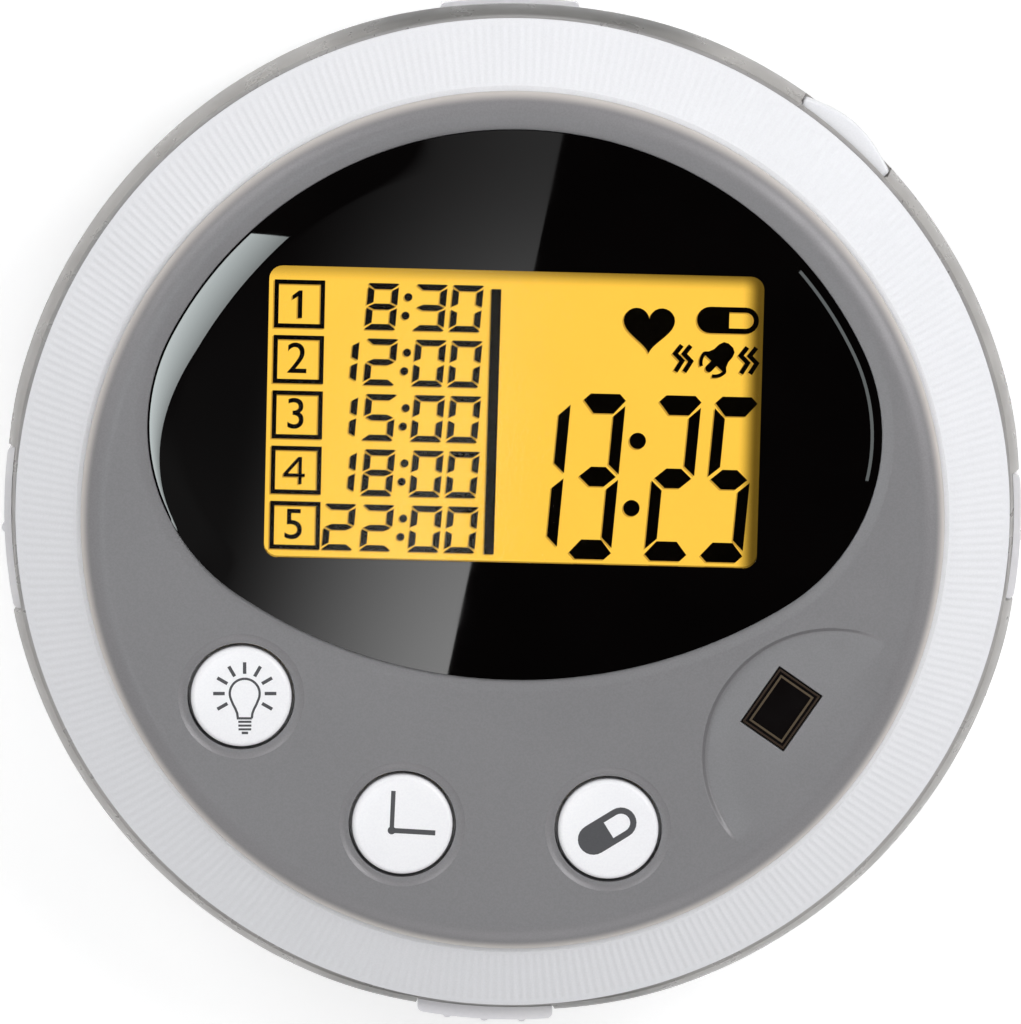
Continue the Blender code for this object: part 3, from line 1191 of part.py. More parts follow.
def timer_base():
    """The timer's back, with the battery bay, the screw bosses and the buzzer's sound holes."""
    wall_inner = BASE_WALL_RADIUS - BASE_WALL
    base = turned("timer_base", [
        (0.0, HEAD_BOTTOM),
        (BASE_WALL_RADIUS, HEAD_BOTTOM),
        (BASE_WALL_RADIUS, BASE_FLANGE_BOTTOM),
        (BASE_FLANGE_RADIUS, BASE_FLANGE_BOTTOM),
        (BASE_FLANGE_RADIUS, BASE_FLANGE_TOP),
        (wall_inner, BASE_FLANGE_TOP),
        (wall_inner, BASE_PLATE_TOP),
        (0.0, BASE_PLATE_TOP),
    ], white_plastic(), 2 * ROUND_STEPS)
    boss_bottom = BASE_PLATE_TOP - UNION_DEPTH
    boss_top = BOARD_BOTTOM - GAP
    door_place = (0.0, DOOR_TAB_Y)
    seat_top = DOOR_TOP + GAP
    screw_places = [polar(HEAD_SCREW_CIRCLE_RADIUS, angle) for angle in HEAD_SCREW_ANGLES]
    unite(base, *[cylinder("boss", place, BOSS_RADIUS, boss_bottom, boss_top)
                  for place in screw_places + [door_place]])
    cut(base, *[screw_bore(place, HEAD_BOTTOM, 1, boss_top + OVERRUN) for place in screw_places])
    cut(base, prism("door_seat", door_outline(GAP), HEAD_BOTTOM - OVERRUN, seat_top))
    cut(base, cylinder("door_tab_seat", door_place, DOOR_TAB_RADIUS + GAP, HEAD_BOTTOM - OVERRUN,
                       seat_top, None, ROUND_STEPS))
    cut(base, cylinder("door_screw_hole", door_place, SCREW_HOLE_RADIUS, HEAD_BOTTOM - OVERRUN,
                       boss_top - GAP))
    bay = rounded_rectangle((0.0, CELL_CENTRE_Y), BATTERY_BAY_WIDTH, BATTERY_BAY_DEPTH, DOOR_CORNER_RADIUS)
    cut(base, prism("battery_bay", bay, HEAD_BOTTOM - OVERRUN, BASE_PLATE_TOP + OVERRUN))
    hole_places = circle((0.0, BUZZER_CENTRE_Y), BUZZER_HOLE_CIRCLE, BUZZER_HOLE_COUNT)
    cut(base, *[cylinder("sound_hole", place, BUZZER_HOLE_RADIUS, HEAD_BOTTOM - OVERRUN,
                         BASE_PLATE_TOP + OVERRUN, None, PIN_STEPS // 2) for place in hole_places])
    return base


def battery_door():
    """The door over the two cells, held by one screw in its tab."""
    door = prism("battery_door", door_outline(0.0), HEAD_BOTTOM, DOOR_TOP, white_plastic())
    place = (0.0, DOOR_TAB_Y)
    unite(door, cylinder("tab", place, DOOR_TAB_RADIUS, HEAD_BOTTOM, DOOR_TOP, None, ROUND_STEPS))
    cut(door, screw_bore(place, HEAD_BOTTOM, 1, DOOR_TOP + OVERRUN))
    return door


def coin_cell(name, side):
    """A coin cell, with its stepped rim."""
    rim = CELL_RADIUS - CELL_RIM
    return turned(name, [
        (0.0, CELL_BOTTOM),
        (rim, CELL_BOTTOM),
        (CELL_RADIUS, CELL_BOTTOM + CELL_RIM),
        (CELL_RADIUS, CELL_TOP),
        (0.0, CELL_TOP),
    ], steel(), CELL_STEPS, (side * CELL_OFFSET_X, CELL_CENTRE_Y))


def battery_contact(name, side):
    """A spring strip under the board that presses on a cell."""
    x = side * CELL_OFFSET_X
    middle = (CELL_TOP + BOARD_BOTTOM) / 2
    return box(name,
               (x - CONTACT_LENGTH / 2, CELL_CENTRE_Y - CONTACT_WIDTH / 2, middle - CONTACT_THICKNESS / 2),
               (x + CONTACT_LENGTH / 2, CELL_CENTRE_Y + CONTACT_WIDTH / 2, middle + CONTACT_THICKNESS / 2),
               brass())


def clear_scene():
    for piece in list(bpy.data.objects):
        bpy.data.objects.remove(piece, do_unlink=True)


def build_case():
    base_shell()
    case_top()
    for index, (side, middle) in enumerate(zip(SIDE_NAMES, SIDE_MIDDLES)):
        rubber_foot(f"{side}_foot", middle)
        pill_tray(f"{side}_tray", index)
        tray_pin(f"{side}_tray_pin", middle)
        screw(f"{side}_case_screw", polar(CASE_SCREW_CIRCLE_RADIUS, middle), DECK_TOP, -1,
              CASE_SCREW_LENGTH)
    release_catch()
    catch_spring()


def build_timer():
    timer_base()
    grip_ring()
    face_cover()
    display_lens()
    lcd_glass()
    backlight()
    lcd_connector("upper_lcd_connector", 1)
    lcd_connector("lower_lcd_connector", -1)
    circuit_board()
    controller_chip()
    for index, name in enumerate(CONTROL_NAMES):
        push_button(f"{name}_button", index)
        button_switch(f"{name}_switch", index)
    sensor_window()
    indicator_led()
    buzzer()
    vibration_motor()
    motor_weight()
    battery_door()
    screw("door_screw", (0.0, DOOR_TAB_Y), HEAD_BOTTOM, 1, DOOR_SCREW_LENGTH)
    for name, angle in zip(HEAD_SCREW_NAMES, HEAD_SCREW_ANGLES):
        screw(name, polar(HEAD_SCREW_CIRCLE_RADIUS, angle), HEAD_BOTTOM, 1,
              COVER_UNDERSIDE - GAP - HEAD_BOTTOM)
    for name, side in (("left", -1), ("right", 1)):
        coin_cell(f"{name}_coin_cell", side)
        battery_contact(f"{name}_battery_contact", side)


clear_scene()
build_case()
build_timer()
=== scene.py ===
"""Looks of the electronic pill box: finer shapes and materials, its lit display, the floor, light and camera.

Metres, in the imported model's own frame: +Z up, +Y towards the top of the display, and the origin in the
middle of the surface that the rubber feet stand on.
"""
import math

import bmesh
import bpy
from mathutils import Matrix, Vector

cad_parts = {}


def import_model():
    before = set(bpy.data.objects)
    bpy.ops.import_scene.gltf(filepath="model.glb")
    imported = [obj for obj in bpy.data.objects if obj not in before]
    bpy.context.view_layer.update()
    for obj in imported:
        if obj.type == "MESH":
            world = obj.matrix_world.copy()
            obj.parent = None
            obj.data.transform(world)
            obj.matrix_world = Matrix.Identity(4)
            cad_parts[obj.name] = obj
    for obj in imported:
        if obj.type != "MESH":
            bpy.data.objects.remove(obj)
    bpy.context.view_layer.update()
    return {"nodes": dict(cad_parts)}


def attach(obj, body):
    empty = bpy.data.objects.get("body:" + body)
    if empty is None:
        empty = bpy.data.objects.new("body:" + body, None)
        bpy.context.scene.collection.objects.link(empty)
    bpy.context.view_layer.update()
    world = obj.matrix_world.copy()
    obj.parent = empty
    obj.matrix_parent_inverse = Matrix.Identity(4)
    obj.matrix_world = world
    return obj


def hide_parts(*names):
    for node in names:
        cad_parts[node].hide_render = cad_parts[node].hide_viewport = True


TURN = 360.0

# Steps, edges and clearances of the finer copies of the pieces
RING_STEPS = 256
ROUND_STEPS = 96
FILLET_STEPS = 6
SMOOTH_ANGLE = 35.0
BEVEL_ANGLE = 30.0
WELD_DISTANCE = 0.000001
EDGE_ROUNDING = 0.00012   # of the moulded edges
CASE_EDGE = 0.0002        # and of the nodes that keep their own shapes
SHELL_EDGE = 0.00015
BLOCK_EDGE = 0.0001
FINE_EDGE = 0.00005
CONTACT_EDGE = 0.00004
EVEN_WEIGHT = 100
GAP = 0.0003
FINE_GAP = 0.00006        # where two pieces are seen to fit closely
OVERRUN = 0.002           # how far a cutter reaches past what it cuts
UNION_DEPTH = 0.0005
PRINT_LIFT = 0.00001      # how far a print stands above its surface
PRINT_SINK = 0.00004      # and how deep it reaches into it

# Case
CASE_RADIUS = 0.049
COLLAR_INNER_RADIUS = 0.0472
COLLAR_LIP_RADIUS = 0.0480
COLLAR_EDGE_RADIUS = 0.0485
COLLAR_EDGE_DROP = 0.0009
COLLAR_WIDEST_HEIGHT = 0.0016
COLLAR_LOWER_EDGE = 0.0005
RECESS_DEPTH = 0.0003
RECESS_HALF_ANGLES = (15.0, 23.0, 15.0, 21.0)
NOTCH_RADIUS = 0.04803
NOTCH_ANGLES = (-1.1, 183.3, 268.4)
NOTCH_HALF_ANGLES = (7.55, 9.65, 8.05)
NOTCH_SLANT = 0.4         # how much wider a notch is outside, at its end towards its tray's pin
DECK_BOTTOM = 0.0151
DECK_TOP = 0.0167
COLLAR_TOP = 0.0210
COLLAR_SHADE_START = 0.0440   # how far forward or back the painted shade on the collar starts
COLLAR_SHADE_END = 0.0475
COLLAR_HIGHLIGHT_RADIUS = 0.0476  # of the painted highlight line beside the ring
COLLAR_LINE_RADIUS = 0.0480   # where that line has ended
COLLAR_DEEPEST_SHADE_RADIUS = 0.0490   # and where the painted shade on the collar's outer side is deepest
LIP_ANGLES = (170.0, 230.0, 290.0)
LIP_HALF_ANGLE = 9.0
LIP_INNER_RADIUS = 0.0449
LIP_BOTTOM = 0.0194
LIP_TOP = 0.0204
PIN_CIRCLE_RADIUS = 0.0453
PIN_ANGLE = 39.298
PIN_HOLE_RADIUS = 0.0013
PIN_HOLE_TOP = 0.0162
CASE_SCREW_CIRCLE_RADIUS = 0.006
SCREW_HOLE_RADIUS = 0.0011
SCREW_SINK_RADIUS = 0.0019
SCREW_SINK_DEPTH = 0.0011
SIDES = ("right", "rear", "left", "front")
SIDE_ANGLES = (0.0, 90.0, 180.0, 270.0)

# Catch
CATCH_ANGLE = 50.1
CATCH_HALF_ANGLE = 6.3
CATCH_INNER_RADIUS = 0.0475
CATCH_END_RADIUS = 0.0487
CATCH_BULGE = 0.0010
CATCH_TOP = 0.0203
CATCH_EDGE_ROUNDING = 0.0003
CATCH_OPENING_RADIUS = 0.0480
CATCH_STEPS = 24
CATCH_WINDOW_HALF_WIDTH = 0.0055
CATCH_WINDOW_INNER_RADIUS = 0.0465
CATCH_TRACK_DEPTH = 0.0002
SPRING_POST_INNER_RADIUS = 0.0457
SPRING_POST_THICKNESS = 0.0005
SPRING_POST_OFFSET = 0.0042
SPRING_POST_HALF_WIDTH = 0.0005
SPRING_POST_HEIGHT = 0.0030

# White ring
RING_RADIUS = 0.04758
RING_TOP_RADIUS = 0.04153
RING_HOLE_RADIUS = 0.0398
RING_BOTTOM = 0.0213
RING_EDGE_TOP = 0.02165
RING_TOP = 0.0266
RING_SEAT_BOTTOM = 0.0249
RING_WALL = 0.0016
RING_LEDGE = 0.0226
RING_LEDGE_RADIUS = 0.0413
SKIRT_INNER_RADIUS = 0.0426
SKIRT_RADIUS = 0.0446
SKIRT_BOTTOM = 0.0181
BEAD_RADIUS = 0.0454
BEAD_TOP = 0.0191
GROOVE_RADIUS = 0.0432
GROOVE_BOTTOM = 0.0185
GROOVE_TOP = 0.0197
RIB_COUNT = 360
RIB_STEPS = 6
RIB_LOOPS = (3, 4)        # the points of the ring's outline between which the ribs are full
RIB_HEIGHT = 0.00010
RIB_OUTER_RADIUS = 0.04695
RIB_INNER_RADIUS = 0.04175
RIB_FADE = 0.00012

# Grey face
COVER_RADIUS = 0.04105
# where the painted reflection on the face's shoulder starts
COVER_REFLECTION_RADIUS = 0.0401
COVER_RIM_BOTTOM = 0.0269
COVER_RIM_TOP = 0.0271
FACE_TOP = 0.0289
COVER_SHOULDER_WIDTH = 0.0025
COVER_UNDERSIDE = 0.0265
COVER_PLUG_RADIUS = 0.0395
COVER_PLUG_INNER_RADIUS = 0.0382
COVER_PLUG_BOTTOM = 0.0250
BOSS_RADIUS = 0.0022
BOSS_BOTTOM = 0.0239
HEAD_SCREW_CIRCLE_RADIUS = 0.0337
HEAD_SCREW_ANGLES = (90.0, 187.0, 270.0, 353.0)
SCOOP_CENTRE_RADIUS = 0.03765
SCOOP_CENTRE_ANGLE = 325.2
SCOOP_RADIUS = 0.0122
SCOOP_RUN = 0.0100
SCOOP_DEPTH = 0.0006
SCOOP_WALL = 0.0005       # width of the soft step at the scoop's edge
SCOOP_GROOVE_WIDTH = 0.0022
SCOOP_GROOVE_DEPTH = 0.00014
SCOOP_GROOVE_FADE = 0.0002

# Lens and display
LENS_TOP = 0.0291
LENS_BOTTOM = 0.0277
LENS_LEDGE = 0.0274
LENS_UPPER_RADIUS = 0.0366
LENS_UPPER_CENTRE_Y = 0.0009
LENS_LOWER_RADIUS = 0.0482
LENS_LOWER_CENTRE_Y = 0.0334
LENS_END_RADIUS = 0.019
LENS_ARC_STEPS = 72
LENS_END_STEPS = 32
LENS_ROLL_WIDTH = 0.0032  # of the band that rolls down to the lens's edge
LENS_ROLL_DROP = 0.0002
LENS_ROLL_STEPS = 32
LENS_ROLL_START = 0.009   # how far to the side the roll starts, and where it is full
LENS_ROLL_END = 0.019
LENS_ROLL_FOOT = -0.006   # how far down it ends, and where it is full
LENS_ROLL_FULL = 0.0
LENS_FLAT_MARGIN = 0.0003
LENS_LIP_WIDTH = 0.0016   # of the face's soft edge round the lens
LENS_LIP_DROP = 0.00012
GLASS_TOP = 0.0271
GLASS_WIDTH = 0.050
GLASS_DEPTH = 0.034
DISPLAY_CENTRE_Y = 0.010
WINDOW_CENTRE = (-0.00015, 0.010285)
WINDOW_WIDTH = 0.04676
WINDOW_DEPTH = 0.02779
WINDOW_CORNER = 0.0013
PANE_THICKNESS = 0.0004
SIDE_SHADE_START = 0.0021  # how far inside the window the painted shade of its edges starts, and where it is full
SIDE_SHADE_END = 0.0003
TOP_SHADE_START = 0.0016

# Buttons and sensor window
CONTROL_CIRCLE_RADIUS = 0.0306
CONTROL_PITCH_ANGLE = 37.4
CONTROL_NAMES = ("light", "clock", "pill")
BUTTON_RADIUS = 0.00479
BUTTON_HOLE_RADIUS = 0.00512
BUTTON_EDGE_RADIUS = 0.0005
BUTTON_CROWN = 0.00006
CROWN_SHARES = (0.75, 0.5, 0.25)
BUTTON_TOP = 0.02928
BUTTON_FLANGE_RADIUS = 0.00605
BUTTON_FLANGE_BOTTOM = 0.0254
BUTTON_FLANGE_TOP = 0.0262
PLUNGER_RADIUS = 0.0017
WELL_RADIUS = 0.0060
WELL_DEPTH = 0.00025
WELL_POWER = 2.4          # of the curve of the well's floor, which steepens towards its edge
PLUNGER_LENGTH = 0.00025
SENSOR_RADIUS = 0.03107
SENSOR_ANGLE = 326.76
SENSOR_LENGTH = 0.0064
SENSOR_WIDTH = 0.0049
SENSOR_FLANGE_REACH = 0.0008
SENSOR_FLANGE_BOTTOM = 0.0258
SENSOR_FLANGE_TOP = 0.0262
SENSOR_FRAME_INSETS = (0.00055, 0.00075)
SENSOR_RIM_INSETS = (0.00012, 0.00030)

# Floor, lamps and the cards that show only in gloss
FLOOR_REACH = 6.0
FLOOR_GLOW = 0.45
WORLD_LIGHT = 0.50
LAMPS = (
    ("key", (0.25, 0.17, 0.34), 0.24, 0.74),
    ("side", (-0.26, 0.24, 0.34), 0.24, 0.44),
    ("front", (0.05, -0.55, 0.60), 0.50, 0.60),
)
FLAG_REACH = 1.6
FLAG_HEIGHT = 2.55
FLAG_GLOW = 0.008
GLARE_HEIGHT = 2.5
GLARE_EDGE_TOP = (0.0038, 0.0370)      # where the glare's edge crosses the lens
GLARE_EDGE_FOOT = (-0.0059, -0.01475)
GLARE_OVERRUN = 0.5
GLARE_REACH = 0.6
GLARE_FADE_LEAD = 0.017
GLARE_FADE_REACH = 0.108
GLARE_FADE_SHARE = 0.03
GLARE_RISE_LEAD = 0.020
GLARE_STRONG = 5.2
GLARE_WEAK = 0.6
ROLL_CARD_HEIGHT = 2.45
ROLL_CARD_COLOUR = (0.92, 1.0, 1.0)
ROLL_CARD_ROWS = 6
ROLL_CARD_COLUMNS = 36
CRESCENT_TOPS = (134.0, 129.9)         # the facing of its outer and its inner corner
CRESCENT_FOOT = 206.0
CRESCENT_EDGE_INSET = 0.00015
CRESCENT_TIP_WIDTH = 0.00005
CRESCENT_WIDTH = 0.00275
CRESCENT_MIDDLE = 143.0                # the facing at which it is widest
CRESCENT_SPREAD = 70.0                 # and how far from there it is narrow
CRESCENT_STRONG = 14.0
CRESCENT_WEAK = 6.0
CRESCENT_END_FADE = 0.2
STREAK_TOP = 42.0
STREAK_FOOT = -12.0
STREAK_INSETS = (0.00075, 0.00105)
STREAK_STRENGTH = 3.0
FLOOR_COLOURS = ((0.78, 0.78, 0.78), (0.80, 0.80, 0.80))
FLOOR_CLOUD_SCALE = 3.0
FLOOR_ROUGHNESS = 0.9
WHITE_LIGHT = (1.0, 1.0, 1.0, 1.0)

# Camera
TARGET = Vector((0.0, 0.0, 0.0175))
CAMERA_DISTANCE = 0.750
CAMERA_TILT = math.radians(7.1)
CAMERA_ROLL = math.radians(1.39)
CAMERA_LENS = 274.0       # in millimetres, as is its sensor
CAMERA_SENSOR = 36.0
CAMERA_SHIFT = (-0.00205, -0.00186)

# Display graphics
INK_BOTTOM_LIFT = 0.00002     # how far above the glass the figures start and end
INK_TOP_LIFT = 0.00005
INK_BOTTOM = GLASS_TOP + INK_BOTTOM_LIFT
INK_TOP = GLASS_TOP + INK_TOP_LIFT
DOT_STEPS = 24
BEND_LIMIT = 0.5              # which keeps a sharp bend of a line from growing too wide
SLANT = math.tan(math.radians(4.1))
SEGMENTS = {"0": "abcdef", "1": "bc", "2": "abged", "3": "abgcd", "5": "afgcd", "8": "abcdefg"}
ALARM_TIMES = (" 8:30", "12:00", "15:00", "18:00", "22:00")
ALARM_PITCH = 0.00528
ALARM_BOTTOM = 0.01809        # of the upper alarm time
ALARM_LEFTS = (-0.01810, -0.01448, -0.00989, -0.00647)
ALARM_FIGURE = {"width": 0.0029, "height": 0.00445, "bar": 0.00057, "post": 0.00062, "space": 0.00013,
                "corner": 0.0001}
ALARM_DOTS = ((-0.01038, 0.00319), (-0.01061, 0.00142))
ALARM_DOT_RADIUS = 0.00038
BOX_LEFT = -0.02306
BOX_TOP = 0.02267
BOX_WIDTH = 0.00479
BOX_HEIGHT = 0.00459
BOX_LINE = 0.00042
NUMBER_HEIGHT = 0.00414
NUMBER_BOLDNESS = 0.00002
NUMBER_CENTRE = (-0.0208, 0.02034)
NUMBER_ONE = ((-0.00002, -0.0013), (0.0004, -0.0013), (0.0004, 0.00133), (0.00008, 0.00133),
              (-0.00054, 0.00085), (-0.00054, 0.00044), (-0.00002, 0.00076))
NUMBER_FOUR = (((0.00052, -0.0013), (0.00052, 0.0013)), ((0.00046, 0.00122), (-0.00098, -0.00045)),
               ((-0.00107, -0.00045), (0.00098, -0.00045)))
NUMBER_FOUR_LINE = 0.00032
DIVIDER = ((-0.00266, -0.00307), (-0.00172, -0.00307), (-0.0016, 0.02224), (-0.00254, 0.02224))
CLOCK_BOTTOM = -0.00332
CLOCK_FIGURES = "1325"
CLOCK_LEFTS = (0.00018, 0.00537, 0.01254, 0.01786)
CLOCK_FIGURE = {"width": 0.0040, "height": 0.01585, "bar": 0.00188, "post": 0.00105, "space": 0.00025,
                "corner": 0.00062}
CLOCK_DOTS = ((0.01168, 0.00811), (0.01125, 0.00167))
CLOCK_DOT_RADIUS = 0.00078
HEART_CENTRE_X = 0.01248
HEART_TOP = 0.02081
HEART_WIDTH = 0.00487
HEART_STEPS = 48
HEART_REACH = 16              # of the well-known heart curve, which is twice as wide and rises 12
HEART_RISE = 12
HEART_WAVES = (13, -5, -2, -1)
CAPSULE = {"centre": (0.01992, 0.0198), "half_length": 0.00168, "radius": 0.00126, "line": 0.0005}
CAPSULE_STEPS = 12
BELL_CENTRE = (0.01935, 0.01640)
BELL_TILT = -42.0
BELL_SIDE = [(-0.00150, -0.00098), (-0.00142, -0.00074), (-0.00112, -0.00046), (-0.00092, 0.00005),
             (-0.00088, 0.00070), (-0.00070, 0.00115), (-0.00030, 0.00136)]
BELL_RIM_CENTRE = (0.0, -0.00088)
BELL_RIM_RADIUS = 0.00130
BELL_RIM_ANGLES = ((180.0, 238.0), (302.0, 360.0))
BELL_RIM_STEPS = 8
BELL_RIM_LINE = 0.00034
CLAPPER = ((0.0, -0.00090), (0.0, -0.00165))
CLAPPER_LINE = 0.00070
CLAPPER_RADIUS = 0.00035
SHAKE_STARTS = ((0.01562, 0.01733), (0.01646, 0.01731), (0.02184, 0.01728), (0.02268, 0.01726))
SHAKE_POINTS = ((0.0, 0.0), (-0.00061, -0.00081), (0.00007, -0.00149), (-0.00054, -0.00251))
SHAKE_WIDTH = 0.00044
# how far the painted shadows of the figures are shifted
SHADOW_SHIFT = (-0.00013, -0.00012)

# Signs on the buttons
BULB_CENTRE = (0.00036, 0.00035)
BULB_RADIUS = 0.00142
BULB_ANGLES = (90.0, -22.0)
BULB_STEPS = 14
BULB_NECK = [(0.00112, -0.00102), (0.00088, -0.00148), (0.00072, -0.00190), (0.00066, -0.00238)]
BULB_LINE = 0.00022
BULB_BARS = (                 # the drop, half width and line of each bar of its foot
    (0.00271, 0.00062, 0.00020),
    (0.00308, 0.00062, 0.00020),
    (0.00344, 0.00060, 0.00020),
    (0.00378, 0.00030, 0.00024),
)
RAY_COUNT = 9
RAY_PITCH = 30.0
RAY_REACHES = (0.0019, 0.0030)
RAY_LINE = 0.00032
HANDS_PIVOT = (-0.00100, -0.00052)
HANDS = (((0.00018, 0.00380), 0.00042), ((0.00415, -0.00025), 0.00048))   # tips and lines
HANDS_DOT_RADIUS = 0.00038
PRINTED_CAPSULE = {"centre": (-0.00010, -0.00012), "half_length": 0.00154, "radius": 0.00148, "line": 0.0006,
                   "turned_by": 31.6}

# Materials: colours, and the scales of their patterns in features per metre
MIX_COLOURS = (6, 7)          # the sockets of a mix of colours
MIX_RESULT = 2
PLASTIC_REFRACTION = 1.45
GLOSS_REFRACTION = 1.5
CLOUD_SCALE = 60.0
HANDLED_SCALE = 240.0
GRAIN_DETAIL = 2.0
GRAIN_DEPTH = 0.000004
FROSTED_GRAIN = {"grain_scale": 2500.0, "grain_depth": 0.000003, "speckle_share": 0.02}
INK_GRAIN = {"roughness": 0.5, "grain_scale": 9000.0, "grain_depth": 0.000002, "speckle_share": 0.12}
FROSTED = {"colour": (0.80, 0.81, 0.81), "roughness": 0.22, "transmission": 0.75}
CLEAR_TRAY = {"colour": (0.95, 0.94, 0.98), "roughness": 0.16, "transmission": 0.12}
CLEAR_PANE = {"colour": (1.0, 1.0, 1.0), "roughness": 0.01, "roughness_spread": 0.01, "transmission": 1.0,
              "refraction": 1.2}
EVEN_GRAIN = {"roughness_spread": 0.02, "cloud_share": 0.01}
WHITE = {"colour": (0.85, 0.855, 0.885), "roughness": 0.38, **EVEN_GRAIN}
BUTTON_WHITE = {"colour": (0.94, 0.94, 0.97), "roughness": 0.32, **EVEN_GRAIN}
GREY = {"colour": (0.212, 0.207, 0.215), "roughness": 0.45, "roughness_spread": 0.02, "cloud_share": 0.02,
        "speckle_share": 0.10, "Metallic": 0.30}
# the colour of the painted warm reflection on the face's shoulder
GREY_RIM_REFLECTION_COLOUR = (0.60, 0.56, 0.53)
BLACK = {"colour": (0.0014, 0.0010, 0.0010), "roughness": 0.008}
SMOKED = {"colour": (0.004, 0.003, 0.003), "roughness": 0.06, "specular": 0.08}
RUBBER = {"colour": (0.05, 0.05, 0.05), "roughness": 0.75}
BOARD = {"colour": (0.02, 0.16, 0.06), "roughness": 0.4}
EPOXY = {"colour": (0.014, 0.014, 0.014), "roughness": 0.45}
RED_LAMP = {"colour": (0.5, 0.03, 0.02), "roughness": 0.2}
STEEL = {"colour": (0.62, 0.63, 0.65), "roughness": 0.25}
BRASS = {"colour": (0.78, 0.6, 0.28), "roughness": 0.3}
BUTTON_INK = {"colour": (0.060, 0.060, 0.066)}
SENSOR_FRAME_INK = {"colour": (0.085, 0.062, 0.038), "Specular_IOR_Level": 0.15}
SENSOR_RIM_INK = {"colour": (0.030, 0.018, 0.011), "Specular_IOR_Level": 0.15}
METAL_STRETCH = (1.0, 0.05, 1.0)
METAL_STREAK_SCALE = 1500.0
METAL_STAIN_SCALE = 150.0
METAL_STAIN_SHARE = 0.86
METAL_SMOOTHER = 0.06
METAL_ROUGHER = 0.08
SMEAR_SCALE = 90.0
SMEAR_DETAIL = 4.0
SMEAR_SHARES = (0.8, 1.2)
DUST_SCALE = 5200.0
DUST_DETAIL = 1.0
DUST_RANGE = (0.74, 0.80)
DUST_SHARE = 3.0
GLOSS_SCALE = 200.0
GLOSS_SHARES = (0.8, 1.4)
COLLAR_CLOUD_SCALE = 260.0
COLLAR_PALE_COLOURS = ((0.50, 0.48, 0.46), (0.58, 0.56, 0.54))
# painted shade: the collar's tones at the front and the rear, and the deepest shade on its outer side there
COLLAR_SHADED_COLOURS = ((0.15, 0.145, 0.135), (0.19, 0.185, 0.175))
COLLAR_DEEPEST_SHADE_COLOUR = (0.07, 0.066, 0.062)
# the colour of the painted highlight line beside the ring
COLLAR_HIGHLIGHT_COLOUR = (0.62, 0.60, 0.60)
COLLAR_GLOSS_SCALE = 400.0
COLLAR_ROUGHNESS = (0.26, 0.36)
COLLAR_TRANSMISSION = 0.35
AMBER = (1.0, 0.588, 0.068)
# how dark the painted shadow under the window's edges is
AMBER_SHADOW_SHARE = 0.12
AMBER_CLOUD_SCALE = 160.0
AMBER_CLOUD_SHARE = 0.985
AMBER_GLOW = 1.07
AMBER_UNLIT = {"Base_Color": (0.02, 0.012, 0.002, 1.0), "Roughness": 0.5}
TOP_SHADE_SHARES = (0.55, 0.95)
SEGMENT_COLOUR = (0.0012, 0.0008, 0.0004)
# the colour of the painted shadows of the figures
SEGMENT_SHADOW_COLOUR = (0.62, 0.34, 0.045)
SEGMENT_CLOUD_SCALE = 900.0
SEGMENT_CLOUD_SHARE = 0.9
SEGMENT_UNLIT = {"Base_Color": (0.0008, 0.0006, 0.0004, 1.0), "Roughness": 0.6}


# Shapes

def polar(radius, degrees, centre=(0.0, 0.0)):
    """The point at a radius and an angle from a centre."""
    angle = math.radians(degrees)
    return (centre[0] + radius * math.cos(angle), centre[1] + radius * math.sin(angle))


def arc(centre, radius, start, end, steps):
    """Points along an arc, both ends included, angles in degrees."""
    return [polar(radius, start + (end - start) * step / steps, centre) for step in range(steps + 1)]


def circle(centre, radius, steps):
    """Points once round a circle."""
    return arc(centre, radius, 0.0, TURN, steps)[:-1]


def rounded_rectangle(centre, width, depth, corner):
    """The outline of a rectangle with round corners, counter-clockwise."""
    outline = []
    for quarter, (side_x, side_y) in enumerate(((1, 1), (-1, 1), (-1, -1), (1, -1))):
        corner_x = centre[0] + side_x * (width / 2 - corner)
        corner_y = centre[1] + side_y * (depth / 2 - corner)
        start = 90.0 * quarter
        outline += arc((corner_x, corner_y), corner, start, start + 90.0, FILLET_STEPS)
    return outline


def rectangle(low, high):
    """The outline of a rectangle between two corners, counter-clockwise."""
    return [(low[0], low[1]), (high[0], low[1]), (high[0], high[1]), (low[0], high[1])]


def moved(points, by):
    return [(x + by[0], y + by[1]) for x, y in points]


def shares(steps):
    """Even shares from 0 to 1, both included."""
    return [step / steps for step in range(steps + 1)]


def smooth_share(value, start=0.0, end=1.0):
    """0 before a range, 1 after it, and smooth between."""
    share = min(1.0, max(0.0, (value - start) / (end - start)))
    return share * share * (3 - 2 * share)


def new_object(name, data):
    """A new object in the scene."""
    piece = bpy.data.objects.new(name, data)
    bpy.context.scene.collection.objects.link(piece)
    return piece


def finished_mesh(piece):
    """A new mesh of a piece as its modifiers or its text make it."""
    graph = bpy.context.evaluated_depsgraph_get()
    graph.update()
    return bpy.data.meshes.new_from_object(piece.evaluated_get(graph))


def smooth(mesh_data):
    """Smooth shading, but for the sharp edges."""
    mesh_data.shade_smooth()
    mesh_data.set_sharp_from_angle(angle=math.radians(SMOOTH_ANGLE))


def paint(mesh_data, material):
    mesh_data.materials.clear()
    mesh_data.materials.append(material)


def piece_from(name, shape, material=None):
    """Turns a finished bmesh into an object, smooth on its round faces."""
    bmesh.ops.recalc_face_normals(shape, faces=shape.faces)
    mesh_data = bpy.data.meshes.new(name)
    shape.to_mesh(mesh_data)
    shape.free()
    if material:
        paint(mesh_data, material)
    smooth(mesh_data)
    return new_object(name, mesh_data)


